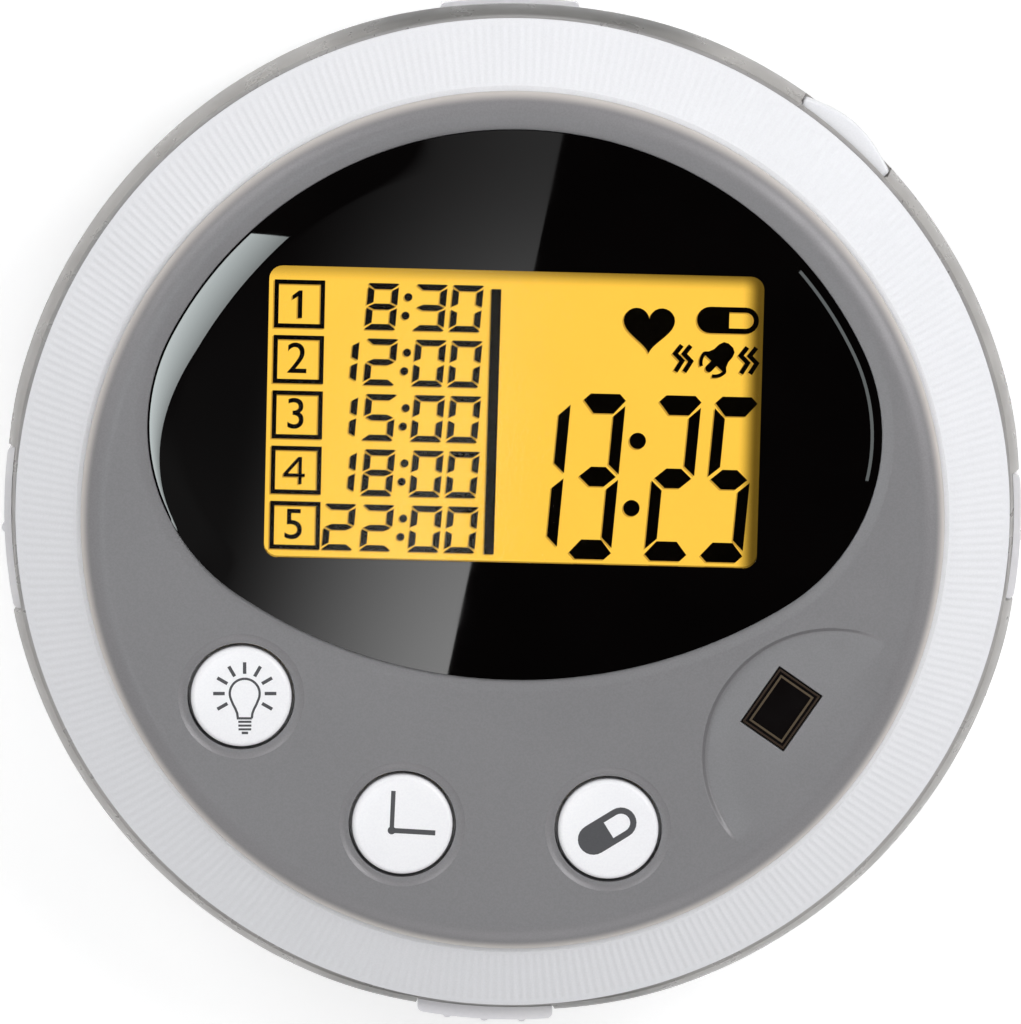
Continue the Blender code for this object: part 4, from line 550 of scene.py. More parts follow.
def add_loops(shape, loops):
    """Joins closed loops of points into one capped solid."""
    rows = [[shape.verts.new(point) for point in loop] for loop in loops]
    count = len(rows[0])
    for lower, upper in zip(rows, rows[1:]):
        for index in range(count):
            after = (index + 1) % count
            shape.faces.new((lower[index], lower[after], upper[after], upper[index]))
    shape.faces.new(rows[0][::-1])
    shape.faces.new(rows[-1])


def at_height(outline, height):
    """An outline in X and Y, at one height."""
    return [(x, y, height) for x, y in outline]


def loft(name, loops, material=None):
    shape = bmesh.new()
    add_loops(shape, loops)
    return piece_from(name, shape, material)


def prism(name, outline, bottom, top, material=None):
    """An outline in X and Y, raised from one height to another."""
    return loft(name, [at_height(outline, height) for height in (bottom, top)], material)


def cylinder(name, centre, radius, bottom, top, steps=ROUND_STEPS):
    return prism(name, circle(centre, radius, steps), bottom, top)


def block(name, low, high):
    return prism(name, rectangle(low, high), low[2], high[2])


def ring_segment(name, inner, outer, half_angle, middle, bottom, top):
    outline = arc((0.0, 0.0), outer, middle - half_angle, middle + half_angle, FILLET_STEPS)
    outline += arc((0.0, 0.0), inner, middle + half_angle, middle - half_angle, FILLET_STEPS)
    return prism(name, outline, bottom, top)


def turned(name, profile, material=None, steps=RING_STEPS, centre=(0.0, 0.0), radius_at=None):
    """A closed profile of (radius, height) points turned about an upright axis."""
    shape = bmesh.new()
    rings = []
    for radius, height in profile:
        ring = []
        for step in range(steps if radius else 0):
            degrees = TURN * step / steps
            turned_radius = radius_at(radius, degrees) if radius_at else radius
            ring.append(shape.verts.new((*polar(turned_radius, degrees, centre), height)))
        rings.append(ring)
    for index, here in enumerate(rings):
        there = rings[(index + 1) % len(rings)]
        if here and there:
            for step in range(steps):
                beside = (step + 1) % steps
                shape.faces.new((here[step], here[beside], there[beside], there[step]))
        elif here or there:
            shape.faces.new(here or there)
    return piece_from(name, shape, material)


def combine(target, tools, operation):
    """Cuts or joins a solid with others, and takes the others away."""
    shape = bmesh.new()
    for tool in tools:
        shape.from_mesh(tool.data)
        bpy.data.objects.remove(tool, do_unlink=True)
    tool = piece_from("tools", shape)
    modifier = target.modifiers.new(operation.lower(), "BOOLEAN")
    modifier.object = tool
    modifier.operation = operation
    modifier.solver = "EXACT"
    result = finished_mesh(target)
    target.modifiers.clear()
    paint(result, target.data.materials[0])
    result.polygons.foreach_set("material_index", [0] * len(result.polygons))
    smooth(result)
    target.data = result
    bpy.data.objects.remove(tool, do_unlink=True)


def cut(target, *tools):
    combine(target, tools, "DIFFERENCE")


def unite(target, *tools):
    combine(target, tools, "UNION")


def turn(piece, degrees):
    """Turns a piece's mesh about the upright axis."""
    piece.data.transform(Matrix.Rotation(math.radians(degrees), 4, "Z"))


def round_edges(piece, width, segments=3):
    """Rounds a moulded piece's sharp edges."""
    bevel = piece.modifiers.new("edges", "BEVEL")
    bevel.limit_method = "ANGLE"
    bevel.angle_limit = math.radians(BEVEL_ANGLE)
    bevel.width = width
    bevel.segments = segments
    bevel.harden_normals = True
    bevel.use_clamp_overlap = True


def wear(piece, body, slot, *nodes):
    """Puts a new piece on its body and in the place of the nodes that it stands for; its slot is not used."""
    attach(piece, body)
    if nodes:
        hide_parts(*nodes)


# Materials

def start_material(name):
    """A new material with its shader, and the place on the piece that its patterns follow."""
    material = bpy.data.materials.new(name)
    material.use_nodes = True
    tree = material.node_tree
    shader = tree.nodes["Principled BSDF"]
    place = tree.nodes.new("ShaderNodeTexCoord").outputs["Object"]
    return material, tree, shader, place


def feed(tree, shader, **inputs):
    """Gives a shader's inputs what they take: a number, a colour or another node's output."""
    for name, value in inputs.items():
        socket = shader.inputs[name.replace("_", " ")]
        if isinstance(value, (float, tuple)):
            socket.default_value = value
        else:
            tree.links.new(value, socket)


def noise(tree, place, scale, detail=3.0):
    """Cloudy noise from 0 to 1, with its scale in features per metre."""
    pattern = tree.nodes.new("ShaderNodeTexNoise")
    pattern.inputs["Scale"].default_value = scale
    pattern.inputs["Detail"].default_value = detail
    tree.links.new(place, pattern.inputs["Vector"])
    return pattern.outputs["Fac"]


def spread(tree, value, low, high, start=0.3, end=0.7):
    """Maps a value from one range onto another, smoothly."""
    mapping = tree.nodes.new("ShaderNodeMapRange")
    mapping.interpolation_type = "SMOOTHSTEP"
    for name, number in (("From Min", start), ("From Max", end), ("To Min", low), ("To Max", high)):
        mapping.inputs[name].default_value = number
    tree.links.new(value, mapping.inputs["Value"])
    return mapping.outputs["Result"]


def patches(tree, place, scale, low=0.0, high=1.0, detail=3.0):
    """Soft patches between two values."""
    return spread(tree, noise(tree, place, scale, detail), low, high)


def mixed(tree, share, first, second):
    """A colour between two, each a colour or another node's output."""
    mix = tree.nodes.new("ShaderNodeMix")
    mix.data_type = "RGBA"
    tree.links.new(share, mix.inputs["Factor"])
    for index, colour in zip(MIX_COLOURS, (first, second)):
        if isinstance(colour, tuple):
            mix.inputs[index].default_value = (*colour, 1.0)
        else:
            tree.links.new(colour, mix.inputs[index])
    return mix.outputs[MIX_RESULT]


def bumped(tree, height, distance):
    """A relief from a pattern."""
    bump = tree.nodes.new("ShaderNodeBump")
    bump.inputs["Strength"].default_value = 1.0
    bump.inputs["Distance"].default_value = distance
    tree.links.new(height, bump.inputs["Height"])
    return bump.outputs["Normal"]


def calculated(tree, operation, *values):
    """A sum on values, each a number or another node's output."""
    node = tree.nodes.new("ShaderNodeMath")
    node.operation = operation
    for index, value in enumerate(values):
        if isinstance(value, (int, float)):
            node.inputs[index].default_value = value
        else:
            tree.links.new(value, node.inputs[index])
    return node.outputs[0]


def axis(tree, place, name):
    """One coordinate of a place."""
    parts = tree.nodes.new("ShaderNodeSeparateXYZ")
    tree.links.new(place, parts.inputs[0])
    return parts.outputs[name]


def from_axis(tree, place):
    """The distance of a place from the upright axis."""
    across = axis(tree, place, "X")
    along = axis(tree, place, "Y")
    square = calculated(tree, "MULTIPLY_ADD", along, along, calculated(tree, "MULTIPLY", across, across))
    return calculated(tree, "SQRT", square)


def scaled(colour, share):
    return tuple(min(1.0, channel * share) for channel in colour)


def moulded(name, colour, roughness, grain_scale=6000.0, grain_depth=GRAIN_DEPTH, speckle_share=0.04,
            cloud_share=0.03, roughness_spread=0.06, **settings):
    """A moulded plastic: fine grain in colour and relief, faint clouds, and handled patches in its gloss."""
    material, tree, shader, place = start_material(name)
    clouds = patches(tree, place, CLOUD_SCALE)
    specks = patches(tree, place, grain_scale, detail=GRAIN_DETAIL)
    cloudy, light = [
        mixed(tree, clouds, scaled(colour, 1 - cloud_share + lift), scaled(colour, 1 + cloud_share + lift))
        for lift in (0.0, speckle_share)]
    feed(tree, shader, Base_Color=mixed(tree, specks, cloudy, light),
         Roughness=patches(tree, place, HANDLED_SCALE, roughness - roughness_spread,
                           roughness + roughness_spread),
         Normal=bumped(tree, noise(tree, place, grain_scale, GRAIN_DETAIL), grain_depth), **settings)
    return material


def clear_plastic(name, transmission, refraction=PLASTIC_REFRACTION, **settings):
    return moulded(name, Transmission_Weight=transmission, IOR=refraction, **FROSTED_GRAIN, **settings)


def printed_ink(name, **settings):
    return moulded(name, **INK_GRAIN, **settings)


def metal(name, colour, roughness):
    """A drawn or stamped metal with fine streaks and stains."""
    material, tree, shader, place = start_material(name)
    stretch = tree.nodes.new("ShaderNodeMapping")
    stretch.inputs["Scale"].default_value = METAL_STRETCH
    tree.links.new(place, stretch.inputs["Vector"])
    streaks = noise(tree, stretch.outputs["Vector"], METAL_STREAK_SCALE)
    stains = patches(tree, place, METAL_STAIN_SCALE)
    feed(tree, shader, Base_Color=mixed(tree, stains, scaled(colour, METAL_STAIN_SHARE), colour),
         Roughness=spread(tree, streaks, roughness - METAL_SMOOTHER, roughness + METAL_ROUGHER),
         Normal=bumped(tree, streaks, GRAIN_DEPTH), Metallic=1.0)
    return material


def gloss_black(name, colour, roughness, specular=0.5):
    """Black gloss with faint smears and dust under the light."""
    material, tree, shader, place = start_material(name)
    smears = patches(tree, place, SMEAR_SCALE, detail=SMEAR_DETAIL)
    dust = spread(tree, noise(tree, place, DUST_SCALE, DUST_DETAIL), 0.0, 1.0, *DUST_RANGE)
    smeared = mixed(tree, smears, *[scaled(colour, share) for share in SMEAR_SHARES])
    feed(tree, shader, Base_Color=mixed(tree, dust, smeared, scaled(colour, DUST_SHARE)),
         Roughness=patches(tree, place, GLOSS_SCALE, *[roughness * share for share in GLOSS_SHARES]),
         IOR=GLOSS_REFRACTION, Specular_IOR_Level=specular)
    return material


def frosted_collar():
    """The collar's frosted plastic, with painted shade at the front and the rear that is deepest on its outer
    side, and a painted highlight line beside the ring.
    """
    material, tree, shader, place = start_material("frosted_collar")
    clouds = patches(tree, place, COLLAR_CLOUD_SCALE)
    distance = from_axis(tree, place)
    # Painted shade: darker at the front and the rear, and darkest on the outer side there
    outside = spread(tree, distance, 0.0, 1.0, COLLAR_LINE_RADIUS, COLLAR_DEEPEST_SHADE_RADIUS)
    painted_shade = mixed(tree, outside, mixed(tree, clouds, *COLLAR_SHADED_COLOURS), COLLAR_DEEPEST_SHADE_COLOUR)
    reach = calculated(tree, "ABSOLUTE", axis(tree, place, "Y"))
    ends = spread(tree, reach, 0.0, 1.0, COLLAR_SHADE_START, COLLAR_SHADE_END)
    toned = mixed(tree, ends, mixed(tree, clouds, *COLLAR_PALE_COLOURS), painted_shade)
    # A painted highlight line beside the ring
    line = spread(tree, distance, 1.0, 0.0, COLLAR_HIGHLIGHT_RADIUS, COLLAR_LINE_RADIUS)
    grain = noise(tree, place, FROSTED_GRAIN["grain_scale"], GRAIN_DETAIL)
    feed(tree, shader, Base_Color=mixed(tree, line, toned, COLLAR_HIGHLIGHT_COLOUR),
         Roughness=patches(tree, place, COLLAR_GLOSS_SCALE, *COLLAR_ROUGHNESS),
         Normal=bumped(tree, grain, FROSTED_GRAIN["grain_depth"]),
         Transmission_Weight=COLLAR_TRANSMISSION, IOR=PLASTIC_REFRACTION)
    return material


def grey_soft_touch():
    """The face's satin grey, with a lighter, warmer painted reflection on the last of its shoulder."""
    material = moulded("grey_soft_touch", **GREY)
    tree = material.node_tree
    shader = tree.nodes["Principled BSDF"]
    grey = shader.inputs["Base Color"].links[0].from_socket
    place = tree.nodes.new("ShaderNodeTexCoord").outputs["Object"]
    # A painted reflection: lighter and warmer on the last of the shoulder
    rim = spread(tree, from_axis(tree, place), 0.0, 1.0, COVER_REFLECTION_RADIUS, COVER_RADIUS)
    feed(tree, shader, Base_Color=mixed(tree, rim, grey, GREY_RIM_REFLECTION_COLOUR))
    return material


def lit_amber():
    """The lit display: even amber with a painted shadow under the window's upper and right edges."""
    material, tree, shader, place = start_material("lit_amber")
    shadowed = scaled(AMBER, AMBER_SHADOW_SHARE)
    even = mixed(tree, patches(tree, place, AMBER_CLOUD_SCALE), scaled(AMBER, AMBER_CLOUD_SHARE), AMBER)
    left = WINDOW_CENTRE[0] - WINDOW_WIDTH / 2
    right = WINDOW_CENTRE[0] + WINDOW_WIDTH / 2
    top = WINDOW_CENTRE[1] + WINDOW_DEPTH / 2
    across = axis(tree, place, "X")
    # Painted shadow of the window's edges, weaker towards the left along the top
    side_shade = spread(tree, across, 0.0, 1.0, right - SIDE_SHADE_START, right - SIDE_SHADE_END)
    top_shade = spread(tree, axis(tree, place, "Y"), 0.0, 1.0, top - TOP_SHADE_START, top)
    top_shade = calculated(tree, "MULTIPLY", top_shade, spread(tree, across, *TOP_SHADE_SHARES, left, right))
    toned = mixed(tree, top_shade, mixed(tree, side_shade, even, shadowed), shadowed)
    feed(tree, shader, Emission_Color=toned, Emission_Strength=AMBER_GLOW, Specular_IOR_Level=0.0,
         **AMBER_UNLIT)
    return material


def display_ink(name, colour):
    """The display's dark segments and their painted soft shadows, which glow a little."""
    material, tree, shader, place = start_material(name)
    clouds = patches(tree, place, SEGMENT_CLOUD_SCALE)
    feed(tree, shader, Emission_Color=mixed(tree, clouds, scaled(colour, SEGMENT_CLOUD_SHARE), colour),
         Emission_Strength=1.0, Specular_IOR_Level=0.0, **SEGMENT_UNLIT)
    return material


# Pieces of the case

def recess_share(degrees):
    """How deep the finger recess is at an angle, as a share of its full depth."""
    side = round(degrees / 90.0)
    away = degrees - 90.0 * side
    half_angle = RECESS_HALF_ANGLES[side % len(SIDE_ANGLES)]
    if abs(away) > half_angle:
        return 0.0
    return math.cos(math.radians(90.0 * away / half_angle)) ** 2


def collar_radius(radius, degrees):
    if radius <= COLLAR_INNER_RADIUS:
        return radius
    return radius - RECESS_DEPTH * recess_share(degrees)


def collar_outline():
    """The outer side of the collar, from its lower edge to its lip."""
    return [
        (CASE_RADIUS - COLLAR_LOWER_EDGE, DECK_BOTTOM),
        (CASE_RADIUS - COLLAR_LOWER_EDGE / 4, DECK_BOTTOM + COLLAR_LOWER_EDGE),
        (CASE_RADIUS, DECK_BOTTOM + COLLAR_WIDEST_HEIGHT),
        (CASE_RADIUS, DECK_TOP + COLLAR_WIDEST_HEIGHT),
        (COLLAR_EDGE_RADIUS, COLLAR_TOP - COLLAR_EDGE_DROP),
        (COLLAR_LIP_RADIUS, COLLAR_TOP),
    ]


def collar_notch(middle, half_angle):
    """The cutter for the notch round a tray's tab, with the slant that the swinging tab needs."""
    end = middle + half_angle
    outline = arc((0.0, 0.0), CASE_RADIUS + OVERRUN, middle - half_angle, end, FILLET_STEPS)
    outline += arc((0.0, 0.0), NOTCH_RADIUS, end - NOTCH_SLANT, middle - half_angle, FILLET_STEPS)
    return prism("notch", outline, DECK_BOTTOM - OVERRUN, COLLAR_TOP + OVERRUN)


def catch_outline(inner, grow):
    """The catch from above: it bulges out of the collar and narrows towards both ends."""
    half_angle = CATCH_HALF_ANGLE + math.degrees(grow / CATCH_END_RADIUS)
    outline = []
    for step in range(CATCH_STEPS + 1):
        share = 2 * step / CATCH_STEPS - 1
        bulge = CATCH_BULGE * math.cos(math.radians(90.0 * share))
        outline.append(polar(CATCH_END_RADIUS + bulge + grow, CATCH_ANGLE + half_angle * share))
    return outline + arc((0.0, 0.0), inner, CATCH_ANGLE + half_angle, CATCH_ANGLE - half_angle, CATCH_STEPS)


def smooth_catch(material):
    catch = prism("smooth_catch", catch_outline(CATCH_INNER_RADIUS, 0.0), DECK_TOP, CATCH_TOP, material)
    round_edges(catch, CATCH_EDGE_ROUNDING)
    wear(catch, "catch", "white_plastic", "release_catch")


def case_collar(material):
    """The deck over the trays and the collar round the timer."""
    profile = [(0.0, DECK_BOTTOM), *collar_outline(), (COLLAR_INNER_RADIUS, COLLAR_TOP),
               (COLLAR_INNER_RADIUS, DECK_TOP), (0.0, DECK_TOP)]
    collar = turned("case_collar", profile, material, RING_STEPS, (0.0, 0.0), collar_radius)
    unite(collar, *[ring_segment("lip", LIP_INNER_RADIUS, COLLAR_INNER_RADIUS + UNION_DEPTH,
                                 LIP_HALF_ANGLE, angle, LIP_BOTTOM, LIP_TOP) for angle in LIP_ANGLES])
    posts = []
    for side in (-1, 1):
        middle = side * SPRING_POST_OFFSET
        post = block("spring_post",
                     (SPRING_POST_INNER_RADIUS, middle - SPRING_POST_HALF_WIDTH, DECK_TOP - UNION_DEPTH),
                     (SPRING_POST_INNER_RADIUS + SPRING_POST_THICKNESS, middle + SPRING_POST_HALF_WIDTH,
                      DECK_TOP + SPRING_POST_HEIGHT))
        turn(post, CATCH_ANGLE)
        posts.append(post)
    unite(collar, *posts)
    window = block("catch_window",
                   (CATCH_WINDOW_INNER_RADIUS, -CATCH_WINDOW_HALF_WIDTH, DECK_TOP - CATCH_TRACK_DEPTH),
                   (CASE_RADIUS + OVERRUN, CATCH_WINDOW_HALF_WIDTH, CATCH_TOP + GAP))
    turn(window, CATCH_ANGLE)
    tools = [window]
    for angle in SIDE_ANGLES:
        pin = polar(PIN_CIRCLE_RADIUS, angle + PIN_ANGLE)
        tools.append(cylinder("pin_hole", pin, PIN_HOLE_RADIUS, DECK_BOTTOM - OVERRUN, PIN_HOLE_TOP))
        place = polar(CASE_SCREW_CIRCLE_RADIUS, angle)
        tools.append(turned("screw_bore", [
            (0.0, DECK_TOP + OVERRUN),
            (SCREW_SINK_RADIUS, DECK_TOP + OVERRUN),
            (SCREW_SINK_RADIUS, DECK_TOP - SCREW_SINK_DEPTH),
            (SCREW_HOLE_RADIUS, DECK_TOP - SCREW_SINK_DEPTH),
            (SCREW_HOLE_RADIUS, DECK_BOTTOM - OVERRUN),
            (0.0, DECK_BOTTOM - OVERRUN),
        ], None, ROUND_STEPS // 2, place))
    cut(collar, *tools)
    cut(collar, prism("catch_opening", catch_outline(CATCH_OPENING_RADIUS, FINE_GAP), CATCH_TOP,
                      COLLAR_TOP + OVERRUN))
    cut(collar, *[collar_notch(middle, half_angle)
                  for middle, half_angle in zip(NOTCH_ANGLES, NOTCH_HALF_ANGLES)])
    round_edges(collar, EDGE_ROUNDING)
    wear(collar, "case", "frosted_case", "case_top")


# Pieces of the timer

def ribbed_ring(material):
    """The white ring: a slope of fine ribs between two plain bands, and the skirt under it."""
    slope = (RING_TOP - RING_EDGE_TOP) / (RING_RADIUS - RING_TOP_RADIUS)
    slope_length = math.hypot(RING_RADIUS - RING_TOP_RADIUS, RING_TOP - RING_EDGE_TOP)
    wall_in = RING_WALL * (RING_TOP - RING_EDGE_TOP) / slope_length
    wall_down = RING_WALL * (RING_RADIUS - RING_TOP_RADIUS) / slope_length

    def slope_height(radius):
        return RING_EDGE_TOP + (RING_RADIUS - radius) * slope

    seat_radius = RING_TOP_RADIUS - wall_in + (RING_TOP - wall_down - RING_SEAT_BOTTOM) / slope
    ledge_height = RING_TOP - wall_down - (RING_LEDGE_RADIUS - (RING_TOP_RADIUS - wall_in)) * slope
    ribbed = (RIB_OUTER_RADIUS, RIB_OUTER_RADIUS - RIB_FADE, RIB_INNER_RADIUS + RIB_FADE, RIB_INNER_RADIUS)
    profile = [
        (RING_RADIUS, RING_BOTTOM),
        (RING_RADIUS, RING_EDGE_TOP),
        *[(radius, slope_height(radius)) for radius in ribbed],
        (RING_TOP_RADIUS, RING_TOP),
        (RING_HOLE_RADIUS, RING_TOP),
        (RING_HOLE_RADIUS, RING_SEAT_BOTTOM),
        (seat_radius, RING_SEAT_BOTTOM),
        (RING_LEDGE_RADIUS, ledge_height),
        (RING_LEDGE_RADIUS, RING_LEDGE),
        (SKIRT_INNER_RADIUS, RING_LEDGE),
        (SKIRT_INNER_RADIUS, GROOVE_TOP),
        (GROOVE_RADIUS, GROOVE_TOP),
        (GROOVE_RADIUS, GROOVE_BOTTOM),
        (SKIRT_INNER_RADIUS, GROOVE_BOTTOM),
        (SKIRT_INNER_RADIUS, SKIRT_BOTTOM),
        (BEAD_RADIUS, SKIRT_BOTTOM),
        (BEAD_RADIUS, BEAD_TOP),
        (SKIRT_RADIUS, BEAD_TOP),
        (SKIRT_RADIUS, RING_BOTTOM),
    ]
    steps = RIB_COUNT * RIB_STEPS
    ring = turned("ribbed_ring", profile, material, steps)
    out = slope / math.hypot(1.0, slope)
    up = 1.0 / math.hypot(1.0, slope)
    for loop in RIB_LOOPS:
        for step in range(steps):
            lift = -RIB_HEIGHT / 2 * math.cos(2 * math.pi * step / RIB_STEPS)
            vertex = ring.data.vertices[loop * steps + step]
            angle = math.radians(TURN * step / steps)
            vertex.co += Vector((lift * out * math.cos(angle), lift * out * math.sin(angle), lift * up))
    wear(ring, "timer_head", "white_plastic", "grip_ring")


def lens_ends():
    """Where the lens's rounder ends are centred, and the angles at which they meet the two long arcs."""
    upper_reach = LENS_UPPER_RADIUS - LENS_END_RADIUS
    lower_reach = LENS_LOWER_RADIUS - LENS_END_RADIUS
    between = LENS_LOWER_CENTRE_Y - LENS_UPPER_CENTRE_Y
    rise = (upper_reach ** 2 - lower_reach ** 2 + between ** 2) / (2 * between)
    end_x = math.sqrt(upper_reach ** 2 - rise ** 2)
    end_y = LENS_UPPER_CENTRE_Y + rise
    upper_angle = math.degrees(math.atan2(end_y - LENS_UPPER_CENTRE_Y, end_x))
    lower_angle = math.degrees(math.atan2(end_y - LENS_LOWER_CENTRE_Y, end_x))
    return end_x, end_y, upper_angle, lower_angle


def lens_outline(grow):
    """The lens's edge: an upper and a lower arc joined by rounder ends, grown by a clearance."""
    end_x, end_y, upper_angle, lower_angle = lens_ends()
    outline = arc((0.0, LENS_UPPER_CENTRE_Y), LENS_UPPER_RADIUS + grow,
                  upper_angle, 180.0 - upper_angle, LENS_ARC_STEPS)
    outline += arc((-end_x, end_y), LENS_END_RADIUS + grow,
                   180.0 - upper_angle, 180.0 - lower_angle, LENS_END_STEPS)[1:]
    outline += arc((0.0, LENS_LOWER_CENTRE_Y), LENS_LOWER_RADIUS + grow,
                   180.0 - lower_angle, TURN + lower_angle, LENS_ARC_STEPS)[1:]
    outline += arc((end_x, end_y), LENS_END_RADIUS + grow,
                   lower_angle, upper_angle, LENS_END_STEPS)[1:-1]
    return outline


def lens_edge(facing, inset):
    """The point at a distance inside the edge, where the upper edge or an end of the lens faces an angle."""
    end_x, end_y, upper_angle, lower_angle = lens_ends()
    if upper_angle <= facing <= 180.0 - upper_angle:
        return polar(LENS_UPPER_RADIUS - inset, facing, (0.0, LENS_UPPER_CENTRE_Y))
    side = 1 if facing < 90.0 else -1
    return polar(LENS_END_RADIUS - inset, facing, (side * end_x, end_y))


def control_angle(index):
    """The angle of a button, counted from the left."""
    return 270.0 + CONTROL_PITCH_ANGLE * (index - len(CONTROL_NAMES) / 2)


def button_place(index):
    return polar(CONTROL_CIRCLE_RADIUS, control_angle(index))


def sensor_outline(grow):
    """The sensor window's edge, square to the radius it lies on, counter-clockwise."""
    middle = Vector(polar(SENSOR_RADIUS, SENSOR_ANGLE))
    out = Vector(polar(SENSOR_WIDTH / 2 + grow, SENSOR_ANGLE))
    along = Vector(polar(SENSOR_LENGTH / 2 + grow, SENSOR_ANGLE + 90.0))
    return [middle + out - along, middle + out + along, middle - out + along, middle - out - along]


def scoop_floor(x, y):
    """The height of the scoop's floor, which rises towards the edge of the face."""
    along = Vector((x, y)).dot(Vector(polar(1.0, SCOOP_CENTRE_ANGLE)))
    return FACE_TOP - SCOOP_DEPTH * (1 - (along - (SCOOP_CENTRE_RADIUS - SCOOP_RADIUS)) / SCOOP_RUN)


def scoop_cutter():
    """A shallow round cutter with a sloping floor, a fine groove round it and a soft wall."""
    centre = polar(SCOOP_CENTRE_RADIUS, SCOOP_CENTRE_ANGLE)
    steps = 2 * FILLET_STEPS
    loops = []

    def groove_depth(floor):
        return SCOOP_GROOVE_DEPTH * smooth_share(FACE_TOP - floor, 0.0, SCOOP_GROOVE_FADE)

    for share in shares(steps)[:-1]:
        inset = SCOOP_WALL / 2 + SCOOP_GROOVE_WIDTH * (1 - share)
        loop = []
        for x, y in circle(centre, SCOOP_RADIUS - inset, 2 * ROUND_STEPS):
            floor = scoop_floor(x, y)
            loop.append((x, y, floor - groove_depth(floor) * smooth_share(share)))
        loops.append(loop)
    for share in shares(steps):
        loop = []
        for x, y in circle(centre, SCOOP_RADIUS + SCOOP_WALL * (share - 0.5), 2 * ROUND_STEPS):
            floor = scoop_floor(x, y)
            floor -= groove_depth(floor)
            loop.append((x, y, floor + smooth_share(share) * max(0.0, FACE_TOP + PRINT_LIFT - floor)))
        loops.append(loop)
    rim = SCOOP_RADIUS + SCOOP_WALL / 2
    loops.append(at_height(circle(centre, rim, 2 * ROUND_STEPS), FACE_TOP + OVERRUN))
    return loft("scoop", loops)


def button_well(place):
    """The cutter for a button's hole, with the soft dish round it."""
    profile = [(0.0, COVER_UNDERSIDE - OVERRUN), (BUTTON_HOLE_RADIUS, COVER_UNDERSIDE - OVERRUN)]
    for share in shares(2 * FILLET_STEPS):
        height = FACE_TOP - WELL_DEPTH * (1 - share ** WELL_POWER)
        profile.append((BUTTON_HOLE_RADIUS + (WELL_RADIUS - BUTTON_HOLE_RADIUS) * share, height))
    profile += [(WELL_RADIUS + WELL_DEPTH, FACE_TOP + WELL_DEPTH), (0.0, FACE_TOP + WELL_DEPTH)]
    return turned("button_well", profile, None, ROUND_STEPS, place)


def lens_lip():
    """The cutter for the lens's seat, with the face's soft edge round it."""
    loops = [at_height(lens_outline(FINE_GAP), LENS_LEDGE)]
    for share in shares(2 * FILLET_STEPS):
        height = FACE_TOP - LENS_LIP_DROP * (1 - share) ** 2 + PRINT_LIFT * share
        loops.append(at_height(lens_outline(FINE_GAP + LENS_LIP_WIDTH * share), height))
    loops.append(at_height(lens_outline(FINE_GAP + LENS_LIP_WIDTH), FACE_TOP + OVERRUN))
    return loft("lens_seat", loops)


def grey_cover(material):
    """The grey soft-touch face of the timer."""
    profile = [(COVER_RADIUS, COVER_RIM_BOTTOM)]
    for share in shares(3 * FILLET_STEPS):
        angle = math.radians(90.0 * share)
        profile.append((COVER_RADIUS - COVER_SHOULDER_WIDTH * (1 - math.cos(angle)),
                        COVER_RIM_TOP + (FACE_TOP - COVER_RIM_TOP) * math.sin(angle)))
    profile += [
        (0.0, FACE_TOP),
        (0.0, COVER_UNDERSIDE),
        (COVER_PLUG_INNER_RADIUS, COVER_UNDERSIDE),
        (COVER_PLUG_INNER_RADIUS, COVER_PLUG_BOTTOM),
        (COVER_PLUG_RADIUS, COVER_PLUG_BOTTOM),
        (COVER_PLUG_RADIUS, COVER_RIM_BOTTOM),
    ]
    cover = turned("grey_cover", profile, material)
    places = [polar(HEAD_SCREW_CIRCLE_RADIUS, angle) for angle in HEAD_SCREW_ANGLES]
    unite(cover, *[cylinder("boss", place, BOSS_RADIUS, BOSS_BOTTOM, COVER_UNDERSIDE + UNION_DEPTH,
                            ROUND_STEPS // 4) for place in places])
    opening = rounded_rectangle((0.0, DISPLAY_CENTRE_Y), GLASS_WIDTH + 2 * GAP, GLASS_DEPTH + 2 * GAP,
                                2 * GAP)
    cut(cover, scoop_cutter())
    cut(cover,
        *[cylinder("boss_hole", place, SCREW_HOLE_RADIUS, BOSS_BOTTOM - OVERRUN, COVER_UNDERSIDE,
                   ROUND_STEPS // 4) for place in places],
        *[button_well(button_place(index)) for index in range(len(CONTROL_NAMES))],
        prism("sensor_hole", sensor_outline(FINE_GAP), COVER_UNDERSIDE - OVERRUN, FACE_TOP + OVERRUN))
    cut(cover, lens_lip())
    cut(cover, prism("display_opening", opening, COVER_UNDERSIDE - OVERRUN, FACE_TOP))
    round_edges(cover, EDGE_ROUNDING)
    even = cover.modifiers.new("even", "WEIGHTED_NORMAL")
    even.keep_sharp = True
    even.weight = EVEN_WEIGHT
    wear(cover, "timer_head", "grey_face", "face_cover")


def roll_drop(x, y, inset):
    """How far the lens has rolled down at a distance inside a place on its edge, towards its upper sides."""
    side = smooth_share(abs(x), LENS_ROLL_START, LENS_ROLL_END)
    upper = smooth_share(y, LENS_ROLL_FOOT, LENS_ROLL_FULL)
    return LENS_ROLL_DROP * side * upper * (1 - inset / LENS_ROLL_WIDTH) ** 2


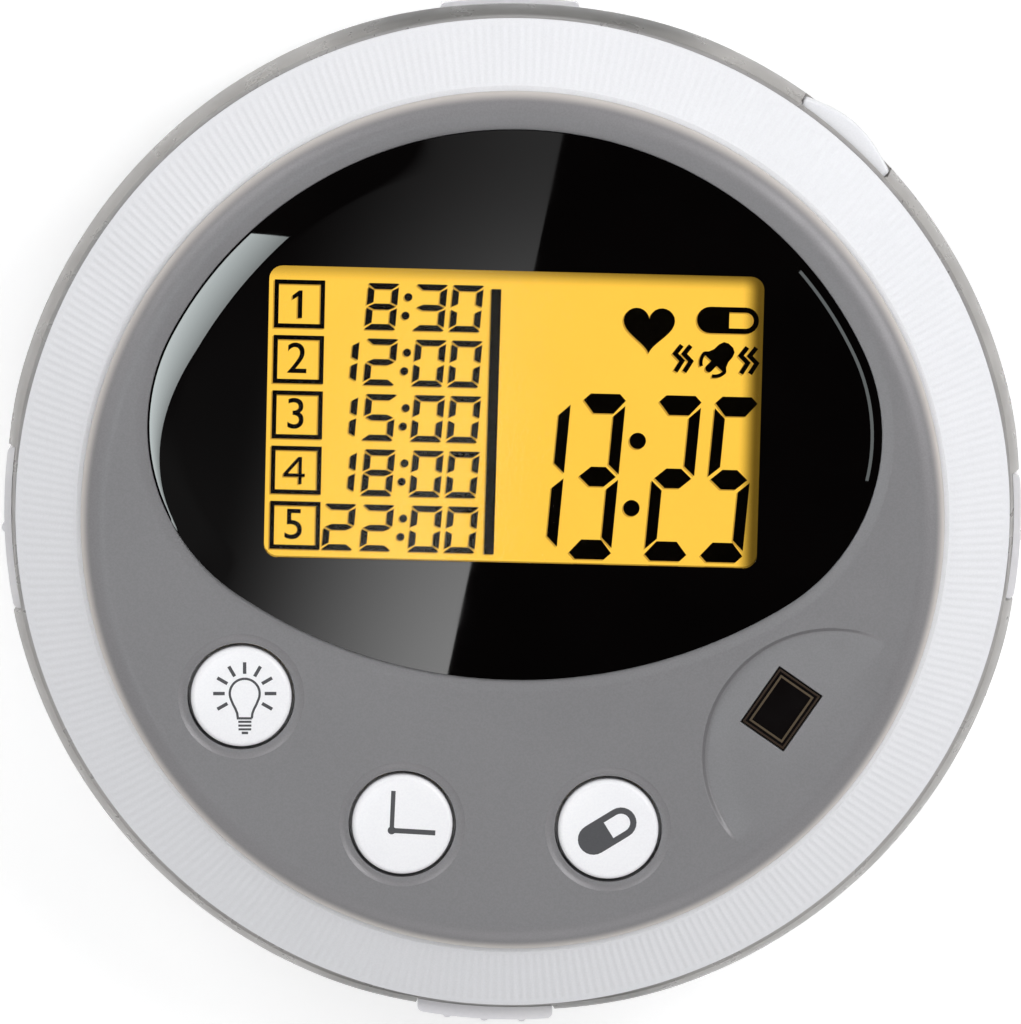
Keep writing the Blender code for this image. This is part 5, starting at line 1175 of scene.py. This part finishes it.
def black_lens(material, clear):
    """The gloss lens, printed black but for the display's window."""
    loops = [at_height(lens_outline(0.0), LENS_BOTTOM)]
    for share in shares(LENS_ROLL_STEPS):
        inset = LENS_ROLL_WIDTH * share
        loops.append([(x, y, LENS_TOP - roll_drop(edge_x, edge_y, inset))
                      for (x, y), (edge_x, edge_y) in zip(lens_outline(-inset), lens_outline(0.0))])
    loops.append(at_height(lens_outline(-LENS_ROLL_WIDTH - LENS_FLAT_MARGIN), LENS_TOP))
    lens = loft("black_lens", loops, material)
    window = rounded_rectangle(WINDOW_CENTRE, WINDOW_WIDTH, WINDOW_DEPTH, WINDOW_CORNER)
    cut(lens, prism("window", window, LENS_BOTTOM - OVERRUN, LENS_TOP + OVERRUN))
    wear(lens, "timer_head", "black_lens", "display_lens")
    pane = prism("window_pane", window, LENS_TOP - PANE_THICKNESS, LENS_TOP, clear)
    wear(pane, "timer_head", "black_lens")


def crown_height(distance):
    """The height of a button's top at a distance from its middle."""
    flat = BUTTON_RADIUS - BUTTON_EDGE_RADIUS
    return BUTTON_TOP - BUTTON_CROWN * (distance / flat) ** 2


def button_cap(index, material):
    """A white button: a slightly crowned top with a rounded edge, its flange and plunger."""
    name = CONTROL_NAMES[index]
    flat = BUTTON_RADIUS - BUTTON_EDGE_RADIUS
    edge_top = BUTTON_TOP - BUTTON_CROWN
    profile = [
        (0.0, BUTTON_FLANGE_BOTTOM - PLUNGER_LENGTH),
        (PLUNGER_RADIUS, BUTTON_FLANGE_BOTTOM - PLUNGER_LENGTH),
        (PLUNGER_RADIUS, BUTTON_FLANGE_BOTTOM),
        (BUTTON_FLANGE_RADIUS, BUTTON_FLANGE_BOTTOM),
        (BUTTON_FLANGE_RADIUS, BUTTON_FLANGE_TOP),
        (BUTTON_RADIUS, BUTTON_FLANGE_TOP),
    ]
    for share in shares(FILLET_STEPS):
        angle = math.radians(90.0 * share)
        profile.append((flat + BUTTON_EDGE_RADIUS * math.cos(angle),
                        edge_top - BUTTON_EDGE_RADIUS * (1 - math.sin(angle))))
    profile += [(flat * share, crown_height(flat * share)) for share in CROWN_SHARES]
    profile.append((0.0, BUTTON_TOP))
    cap = turned(f"{name}_button_cap", profile, material, ROUND_STEPS, button_place(index))
    wear(cap, f"{name}_key", "white_button", f"{name}_button")


# Floor, light and what shows only in gloss

def seen_directly(tree):
    """1 for what is seen, also in gloss and through clear pieces, and 0 for the light on the object."""
    path = tree.nodes.new("ShaderNodeLightPath")
    in_gloss = calculated(tree, "MAXIMUM", path.outputs["Is Glossy Ray"], path.outputs["Is Transmission Ray"])
    return calculated(tree, "MAXIMUM", path.outputs["Is Camera Ray"], in_gloss)


def flat_piece(name, corners, faces=None):
    """A flat piece through its corners, as one face or as the faces given."""
    mesh_data = bpy.data.meshes.new(name)
    mesh_data.from_pydata([tuple(corner) for corner in corners], [], faces or [tuple(range(len(corners)))])
    return new_object(name, mesh_data)


def square_corners(reach, height):
    return [(x * reach, y * reach, height) for x, y in ((-1, -1), (1, -1), (1, 1), (-1, 1))]


def pale_floor():
    floor = flat_piece("floor", square_corners(FLOOR_REACH, 0.0))
    material, tree, shader, place = start_material("pale_floor")
    feed(tree, shader, Base_Color=mixed(tree, patches(tree, place, FLOOR_CLOUD_SCALE), *FLOOR_COLOURS),
         Roughness=FLOOR_ROUGHNESS, Specular_IOR_Level=0.0, Emission_Color=WHITE_LIGHT,
         Emission_Strength=calculated(tree, "MULTIPLY", seen_directly(tree), FLOOR_GLOW))
    paint(floor.data, material)


def white_world():
    world = bpy.data.worlds.new("studio")
    bpy.context.scene.world = world
    world.use_nodes = True
    tree = world.node_tree
    background = tree.nodes["Background"]
    background.inputs["Color"].default_value = WHITE_LIGHT
    level = tree.nodes.new("ShaderNodeMapRange")
    level.inputs["To Min"].default_value = WORLD_LIGHT
    level.inputs["To Max"].default_value = 1.0
    tree.links.new(seen_directly(tree), level.inputs["Value"])
    tree.links.new(level.outputs["Result"], background.inputs["Strength"])


def lamps():
    """Soft lamps round the object, all turned to the middle of its face."""
    for name, place, size, power in LAMPS:
        light = bpy.data.lights.new(name, "AREA")
        light.shape = "DISK"
        light.size = size
        light.energy = power
        lamp = new_object(name, light)
        lamp.location = place
        towards = Vector((0.0, 0.0, FACE_TOP)) - Vector(place)
        lamp.rotation_euler = towards.to_track_quat("-Z", "Y").to_euler()


def card(name, corners, faces=None):
    """A flat glowing card that shows only in gloss, with its shader tree, place and glow."""
    piece = flat_piece(name, corners, faces)
    material = bpy.data.materials.new(name)
    material.use_nodes = True
    tree = material.node_tree
    tree.nodes.remove(tree.nodes["Principled BSDF"])
    emission = tree.nodes.new("ShaderNodeEmission")
    tree.links.new(emission.outputs[0], tree.nodes["Material Output"].inputs["Surface"])
    paint(piece.data, material)
    piece.visible_camera = False
    piece.visible_diffuse = False
    piece.visible_shadow = False
    return tree, tree.nodes.new("ShaderNodeTexCoord").outputs["Object"], emission


def dark_flag():
    """A dark card over everything, which keeps the lens black."""
    emission = card("dark_flag", square_corners(FLAG_REACH, FLAG_HEIGHT))[2]
    emission.inputs["Strength"].default_value = FLAG_GLOW


def glare_card():
    """The bright card whose straight edge shows in the lens, fading to the left and to the top."""
    eye = camera_place()
    ratio = (GLARE_HEIGHT - LENS_TOP) / (eye.z - LENS_TOP)

    def mirrored(point):
        x, y = point
        return Vector((x + (x - eye.x) * ratio, y + (y - eye.y) * ratio, GLARE_HEIGHT))

    upper = mirrored(GLARE_EDGE_TOP)
    lower = mirrored(GLARE_EDGE_FOOT)
    along = (lower - upper).normalized() * GLARE_OVERRUN
    left = Vector((-GLARE_REACH, 0.0, 0.0))
    top = upper - along
    bottom = lower + along
    tree, place, emission = card("glare_card", [top, bottom, bottom + left, top + left])
    lean = (upper.x - lower.x) / (upper.y - lower.y)
    edge_x = calculated(tree, "MULTIPLY_ADD", axis(tree, place, "Y"), lean, upper.x - upper.y * lean)
    distance = calculated(tree, "SUBTRACT", edge_x, axis(tree, place, "X"))
    fade = spread(tree, distance, 1.0, GLARE_FADE_SHARE, -GLARE_FADE_LEAD, GLARE_FADE_REACH)
    rise = spread(tree, axis(tree, place, "Y"), GLARE_STRONG, GLARE_WEAK, lower.y - GLARE_RISE_LEAD, upper.y)
    tree.links.new(calculated(tree, "MULTIPLY", fade, rise), emission.inputs["Strength"])


def seen_in_roll(facing, inset, height):
    """The place at a height that the camera sees mirrored in the rolled band of the lens."""
    share = 1 - inset / LENS_ROLL_WIDTH
    lean = 2 * LENS_ROLL_DROP / LENS_ROLL_WIDTH * share
    surface = Vector((*lens_edge(facing, inset), LENS_TOP - LENS_ROLL_DROP * share ** 2))
    normal = Vector((*polar(lean, facing), 1.0)).normalized()
    sight = (surface - camera_place()).normalized().reflect(normal)
    return surface + sight * ((height - surface.z) / sight.z)


def roll_card(name, spot, glow):
    """A card that shows in the lens's rolled band, its spots and glow given by shares along and across."""
    corners = []
    glows = []
    faces = []
    width = ROLL_CARD_COLUMNS + 1
    for across in shares(ROLL_CARD_ROWS):
        for along in shares(ROLL_CARD_COLUMNS):
            if across < 1 and along < 1:
                first = len(corners)
                faces.append((first, first + 1, first + 1 + width, first + width))
            corners.append(seen_in_roll(*spot(along, across), ROLL_CARD_HEIGHT))
            glows.append(glow(along, across))
    tree, place, emission = card(name, corners, faces)
    bpy.data.meshes[name].attributes.new("glow", "FLOAT", "POINT").data.foreach_set("value", glows)
    strength = tree.nodes.new("ShaderNodeAttribute")
    strength.attribute_name = "glow"
    tree.links.new(strength.outputs["Fac"], emission.inputs["Strength"])
    emission.inputs["Color"].default_value = (*ROLL_CARD_COLOUR, 1.0)


def crescent_spot(along, across):
    """A place in the crescent: its facing, and its distance from the lens's edge."""
    top = CRESCENT_TOPS[0] + (CRESCENT_TOPS[1] - CRESCENT_TOPS[0]) * across
    facing = top + (CRESCENT_FOOT - top) * along
    swell = 0.5 + 0.5 * math.cos(math.pi * (facing - CRESCENT_MIDDLE) / CRESCENT_SPREAD)
    return facing, CRESCENT_EDGE_INSET + (CRESCENT_TIP_WIDTH + CRESCENT_WIDTH * swell) * across


def crescent_glow(along, across):
    """The crescent is brightest along the lens's edge and at its middle."""
    strength = CRESCENT_STRONG + (CRESCENT_WEAK - CRESCENT_STRONG) * across
    return strength * (1 - CRESCENT_END_FADE * (2 * along - 1) ** 2)


def streak_spot(along, across):
    inset = STREAK_INSETS[0] + (STREAK_INSETS[1] - STREAK_INSETS[0]) * across
    return STREAK_TOP + (STREAK_FOOT - STREAK_TOP) * along, inset


def roll_cards():
    roll_card("crescent_card", crescent_spot, crescent_glow)
    roll_card("streak_card", streak_spot, lambda along, across: STREAK_STRENGTH)


def camera_axes():
    back = Vector((-math.sin(CAMERA_ROLL) * math.sin(CAMERA_TILT),
                   math.cos(CAMERA_ROLL) * math.sin(CAMERA_TILT), math.cos(CAMERA_TILT)))
    level = Vector((-math.sin(CAMERA_ROLL), math.cos(CAMERA_ROLL), 0.0))
    right = level.cross(back).normalized()
    return right, back.cross(right), back


def camera_place():
    return TARGET + CAMERA_DISTANCE * camera_axes()[2]


def camera():
    data = bpy.data.cameras.new("camera")
    data.lens = CAMERA_LENS
    data.sensor_width = CAMERA_SENSOR
    data.shift_x, data.shift_y = CAMERA_SHIFT
    viewer = new_object("camera", data)
    right, up, back = camera_axes()
    turn_to = Matrix((right, up, back)).transposed().to_4x4()
    viewer.matrix_world = Matrix.Translation(camera_place()) @ turn_to
    bpy.context.scene.camera = viewer


# Graphics of the display and prints of the buttons

def segment_shapes(width, height, bar, post, space, corner):
    """The seven segments of a digit, as outlines from its lower left corner."""
    middle = height / 2
    top = [(0.0, height - corner), (corner, height), (width - corner, height), (width, height - corner),
           (width - post, height - bar), (post, height - bar)]
    centre = [(space, middle), (post + space, middle + bar / 2), (width - post - space, middle + bar / 2),
              (width - space, middle), (width - post - space, middle - bar / 2),
              (post + space, middle - bar / 2)]
    upper_right = [(width, height - corner - 2 * space), (width, middle + space),
                   (width - post, middle + bar / 2 + space), (width - post, height - bar - space)]

    def flip_x(outline):
        return [(width - x, y) for x, y in outline]

    def flip_y(outline):
        return [(x, height - y) for x, y in outline]

    return {"a": top, "g": centre, "d": flip_y(top), "b": upper_right, "f": flip_x(upper_right),
            "c": flip_y(upper_right), "e": flip_x(flip_y(upper_right))}


class Ink:
    """Collects the display's flat graphics, to be raised as one thin piece."""

    def __init__(self):
        self.outlines = []

    def add(self, outline):
        self.outlines.append(outline)

    def digit(self, figure, left, bottom, sizes):
        shapes = segment_shapes(**sizes)
        for key in SEGMENTS[figure]:
            self.add([(left + x + SLANT * y, bottom + y) for x, y in shapes[key]])

    def dot(self, x, y, radius):
        self.add(circle((x, y), radius, DOT_STEPS))

    def frame(self, left, top, width, height, line):
        right, bottom = left + width, top - height
        for low, high in (((left, top - line), (right, top)),
                          ((left, bottom), (right, bottom + line)),
                          ((left, bottom + line), (left + line, top - line)),
                          ((right - line, bottom + line), (right, top - line))):
            self.add(rectangle(low, high))

    def stroke(self, points, width):
        """A bent line of an even width, with square ends."""
        places = [Vector(point) for point in points]
        left, right = [], []
        for index, place in enumerate(places):
            before = (place - places[index - 1]).normalized() if index else None
            after = (places[index + 1] - place).normalized() if index + 1 < len(places) else None
            along = ((before or after) + (after or before)).normalized()
            side = Vector((-along.y, along.x))
            towards = before or after
            reach = width / 2 / max(BEND_LIMIT, side.dot(Vector((-towards.y, towards.x))))
            left.append(place + side * reach)
            right.append(place - side * reach)
        self.add(left + right[::-1])

    def ring_stroke(self, points, width):
        """A closed line of an even width, as two halves that meet."""
        half = len(points) // 2
        self.stroke(points[:half + 1], width)
        self.stroke(points[half:] + points[:1], width)

    def capsule(self, centre, half_length, radius, line, turned_by=0.0):
        """A capsule whose left half is filled and whose right half is an outline."""
        start = line / 4
        right = (half_length, 0.0)
        filled = [(start, radius), *arc((-half_length, 0.0), radius, 90.0, 270.0, CAPSULE_STEPS),
                  (start, -radius)]
        hollow = [(start, -radius), *arc(right, radius, -90.0, 90.0, CAPSULE_STEPS), (start, radius),
                  (start, radius - line), *arc(right, radius - line, 90.0, -90.0, CAPSULE_STEPS),
                  (start, line - radius)]
        cosine, sine = math.cos(math.radians(turned_by)), math.sin(math.radians(turned_by))
        for outline in (filled, hollow):
            self.add([(centre[0] + x * cosine - y * sine, centre[1] + x * sine + y * cosine)
                      for x, y in outline])

    def piece(self, name, material, bottom, top, shift=(0.0, 0.0)):
        shape = bmesh.new()
        for outline in self.outlines:
            add_loops(shape, [at_height(moved(outline, shift), height) for height in (bottom, top)])
        return piece_from(name, shape, material)


def heart_outline():
    """A heart, from its well-known curve."""
    unit = HEART_WIDTH / (2 * HEART_REACH)
    outline = []
    for step in range(HEART_STEPS):
        angle = 2 * math.pi * step / HEART_STEPS
        rise = sum(wave * math.cos((order + 1) * angle) for order, wave in enumerate(HEART_WAVES))
        outline.append((HEART_CENTRE_X - unit * HEART_REACH * math.sin(angle) ** 3,
                        HEART_TOP + unit * (rise - HEART_RISE)))
    return outline


def draw_bell(ink):
    """A small bell swung to one side, with its rim and clapper."""
    swing = Matrix.Rotation(math.radians(BELL_TILT), 2)

    def placed(points):
        return [Vector(BELL_CENTRE) + swing @ Vector(point) for point in points]

    ink.add(placed(BELL_SIDE + [(-x, y) for x, y in BELL_SIDE[::-1]]))
    for angles in BELL_RIM_ANGLES:
        ink.stroke(placed(arc(BELL_RIM_CENTRE, BELL_RIM_RADIUS, *angles, BELL_RIM_STEPS)), BELL_RIM_LINE)
    clapper = placed(CLAPPER)
    ink.stroke(clapper, CLAPPER_LINE)
    ink.dot(*clapper[-1], CLAPPER_RADIUS)


def figure_piece(figure, centre, height, material):
    """A plain number in its box on the display."""
    text = bpy.data.curves.new(f"box_number_{figure}", "FONT")
    text.body = figure
    text.size = height
    text.align_x = "CENTER"
    text.align_y = "CENTER"
    text.extrude = (INK_TOP - INK_BOTTOM) / 2
    text.offset = NUMBER_BOLDNESS
    letter = new_object("letter", text)
    mesh_data = finished_mesh(letter)
    bpy.data.objects.remove(letter, do_unlink=True)
    mesh_data.transform(Matrix.Translation((*centre, (INK_TOP + INK_BOTTOM) / 2)))
    paint(mesh_data, material)
    wear(new_object(f"box_number_{figure}", mesh_data), "timer_head", "black_lens")


def display_graphics(ink_material, shadow_material):
    """What the lit display shows: five boxed alarm times, the clock and small signs."""
    ink = Ink()
    for index, row in enumerate(ALARM_TIMES):
        drop = ALARM_PITCH * index
        bottom = ALARM_BOTTOM - drop
        for figure, left in zip(row.replace(":", ""), ALARM_LEFTS):
            if figure != " ":
                ink.digit(figure, left, bottom, ALARM_FIGURE)
        for x, rise in ALARM_DOTS:
            ink.dot(x, bottom + rise, ALARM_DOT_RADIUS)
        ink.frame(BOX_LEFT, BOX_TOP - drop, BOX_WIDTH, BOX_HEIGHT, BOX_LINE)
        number = index + 1
        centre = (NUMBER_CENTRE[0], NUMBER_CENTRE[1] - drop)
        if number == 1:
            ink.add(moved(NUMBER_ONE, centre))
        elif number == 4:
            for line in NUMBER_FOUR:
                ink.stroke(moved(line, centre), NUMBER_FOUR_LINE)
        else:
            figure_piece(str(number), centre, NUMBER_HEIGHT, ink_material)
    ink.add(DIVIDER)
    for figure, left in zip(CLOCK_FIGURES, CLOCK_LEFTS):
        ink.digit(figure, left, CLOCK_BOTTOM, CLOCK_FIGURE)
    for x, y in CLOCK_DOTS:
        ink.dot(x, y, CLOCK_DOT_RADIUS)
    ink.add(heart_outline())
    ink.capsule(**CAPSULE)
    draw_bell(ink)
    for start in SHAKE_STARTS:
        ink.stroke(moved(SHAKE_POINTS, start), SHAKE_WIDTH)
    wear(ink.piece("display_figures", ink_material, INK_BOTTOM, INK_TOP), "timer_head", "black_lens")
    # Painted shadows: darker amber copies of the figures, shifted and just beneath them
    shadow = ink.piece("display_shadows", shadow_material, GLASS_TOP + PRINT_LIFT,
                       INK_BOTTOM - PRINT_LIFT / 2, SHADOW_SHIFT)
    wear(shadow, "timer_head", "amber_display")


class ButtonInk(Ink):
    """The print on a button, which follows the button's crown."""

    def __init__(self, index):
        super().__init__()
        self.index = index

    def print_on(self, material):
        name = CONTROL_NAMES[self.index]
        place = Vector(button_place(self.index))
        upright = Matrix.Rotation(CAMERA_ROLL, 2)
        shape = bmesh.new()
        for outline in self.outlines:
            points = [upright @ Vector(point) for point in outline]
            add_loops(shape, [[(*(place + point), crown_height(point.length) + lift) for point in points]
                              for lift in (-PRINT_SINK, 2 * PRINT_LIFT)])
        wear(piece_from(f"{name}_button_print", shape, material), f"{name}_key", "black_lens")


def bulb_print():
    """A shining bulb, with the bars of its foot and its rays."""
    bulb = ButtonInk(0)
    centre = Vector(BULB_CENTRE)
    side = arc((0.0, 0.0), BULB_RADIUS, *BULB_ANGLES, BULB_STEPS) + BULB_NECK
    outline = side + [(-x, y) for x, y in side[::-1]][:-1]
    bulb.ring_stroke([centre + Vector(point) for point in outline], BULB_LINE)
    for drop, half_width, line in BULB_BARS:
        bulb.stroke([centre + Vector((x * half_width, -drop)) for x in (-1, 1)], line)
    for index in range(RAY_COUNT):
        angle = RAY_PITCH * (index - 1)
        bulb.stroke([centre + Vector(polar(reach, angle)) for reach in RAY_REACHES], RAY_LINE)
    return bulb


def hands_print():
    """A clock's two hands."""
    clock = ButtonInk(1)
    pivot = Vector(HANDS_PIVOT)
    for tip, line in HANDS:
        clock.stroke([pivot, pivot + Vector(tip)], line)
    clock.dot(*pivot, HANDS_DOT_RADIUS)
    return clock


def capsule_print():
    pill = ButtonInk(2)
    pill.capsule(**PRINTED_CAPSULE)
    return pill


def on_scoop(outline, lift):
    """An outline laid on the scoop's sloping floor."""
    return [(x, y, scoop_floor(x, y) + lift) for x, y in outline]


def sensor_frame(name, insets, material):
    """A thin printed frame on the sensor window, between two distances from its edge."""
    outer, inner = (sensor_outline(-inset) for inset in insets)
    shape = bmesh.new()
    for index in range(len(outer)):
        after = (index + 1) % len(outer)
        corners = [outer[index], outer[after], inner[after], inner[index]]
        add_loops(shape, [on_scoop(corners, -PRINT_SINK), on_scoop(corners, PRINT_LIFT)])
    wear(piece_from(name, shape, material), "timer_head", "smoked_window")


def sensor_pane(glass, trim, rim):
    """The smoked window over the sensor, which lies along the scoop's floor, with two fine frames on it."""
    outline = sensor_outline(0.0)
    pane = loft("sensor_pane", [at_height(outline, SENSOR_FLANGE_BOTTOM), on_scoop(outline, 0.0)], glass)
    unite(pane, prism("flange", sensor_outline(SENSOR_FLANGE_REACH), SENSOR_FLANGE_BOTTOM, SENSOR_FLANGE_TOP))
    wear(pane, "timer_head", "smoked_window", "sensor_window")
    sensor_frame("sensor_frame", SENSOR_FRAME_INSETS, trim)
    sensor_frame("sensor_rim", SENSOR_RIM_INSETS, rim)


def of_sides(part):
    return [f"{side}_{part}" for side in SIDES]


def plain_looks(white):
    """The nodes that keep their own shapes: their names, material and the width of their rounded edges."""
    rubber = moulded("foot_rubber", **RUBBER)
    epoxy = moulded("black_epoxy", **EPOXY)
    steel = metal("bright_steel", **STEEL)
    return (
        (["base_shell"], clear_plastic("frosted_case", **FROSTED), CASE_EDGE),
        (of_sides("tray"), clear_plastic("clear_tray", **CLEAR_TRAY), CASE_EDGE),
        (of_sides("foot"), rubber, CASE_EDGE),
        (of_sides("tray_pin") + of_sides("case_screw"), steel, FINE_EDGE),
        (["timer_base", "battery_door"], white, SHELL_EDGE),
        (["catch_spring", "vibration_motor", "door_screw", "left_coin_cell", "right_coin_cell"], steel,
         FINE_EDGE),
        ([f"{name}_head_screw" for name in ("top", "left", "bottom", "right")], steel, FINE_EDGE),
        (["left_battery_contact", "right_battery_contact", "motor_weight"], metal("contact_brass", **BRASS),
         CONTACT_EDGE),
        (["lcd_glass"], lit_amber(), FINE_EDGE),
        (["backlight"], white, FINE_EDGE),
        (["upper_lcd_connector", "lower_lcd_connector"], rubber, FINE_EDGE),
        (["circuit_board"], moulded("solder_mask", **BOARD), FINE_EDGE),
        (["controller_chip", "buzzer"], epoxy, BLOCK_EDGE),
        ([f"{name}_switch" for name in CONTROL_NAMES], epoxy, FINE_EDGE),
        (["indicator_led"], moulded("lamp_red", **RED_LAMP), BLOCK_EDGE),
    )


def dress(node, material, width):
    """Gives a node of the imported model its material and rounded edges."""
    paint(node.data, material)
    custom = node.data.attributes.get("custom_normal")
    if custom:
        node.data.attributes.remove(custom)
    node.data.shade_smooth()
    weld = node.modifiers.new("weld", "WELD")
    weld.merge_threshold = WELD_DISTANCE
    round_edges(node, width, 2)


def main():
    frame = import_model()
    bpy.context.scene.view_settings.view_transform = "Standard"
    white = moulded("white_plastic", **WHITE)
    button_white = moulded("button_white", **BUTTON_WHITE)

    case_collar(frosted_collar())
    smooth_catch(white)
    ribbed_ring(white)
    grey_cover(grey_soft_touch())
    black_lens(gloss_black("black_gloss", **BLACK), clear_plastic("clear_pane", **CLEAR_PANE))
    for index in range(len(CONTROL_NAMES)):
        button_cap(index, button_white)
    display_graphics(display_ink("display_ink", SEGMENT_COLOUR),
                     display_ink("display_shadow", SEGMENT_SHADOW_COLOUR))
    button_ink = printed_ink("button_print", **BUTTON_INK)
    for sign in (bulb_print(), hands_print(), capsule_print()):
        sign.print_on(button_ink)
    sensor_pane(gloss_black("smoked_window", **SMOKED), printed_ink("sensor_frame", **SENSOR_FRAME_INK),
                printed_ink("sensor_rim", **SENSOR_RIM_INK))
    for names, material, width in plain_looks(white):
        for name in names:
            dress(frame["nodes"][name], material, width)

    camera()
    pale_floor()
    white_world()
    lamps()
    dark_flag()
    glare_card()
    roll_cards()


main()
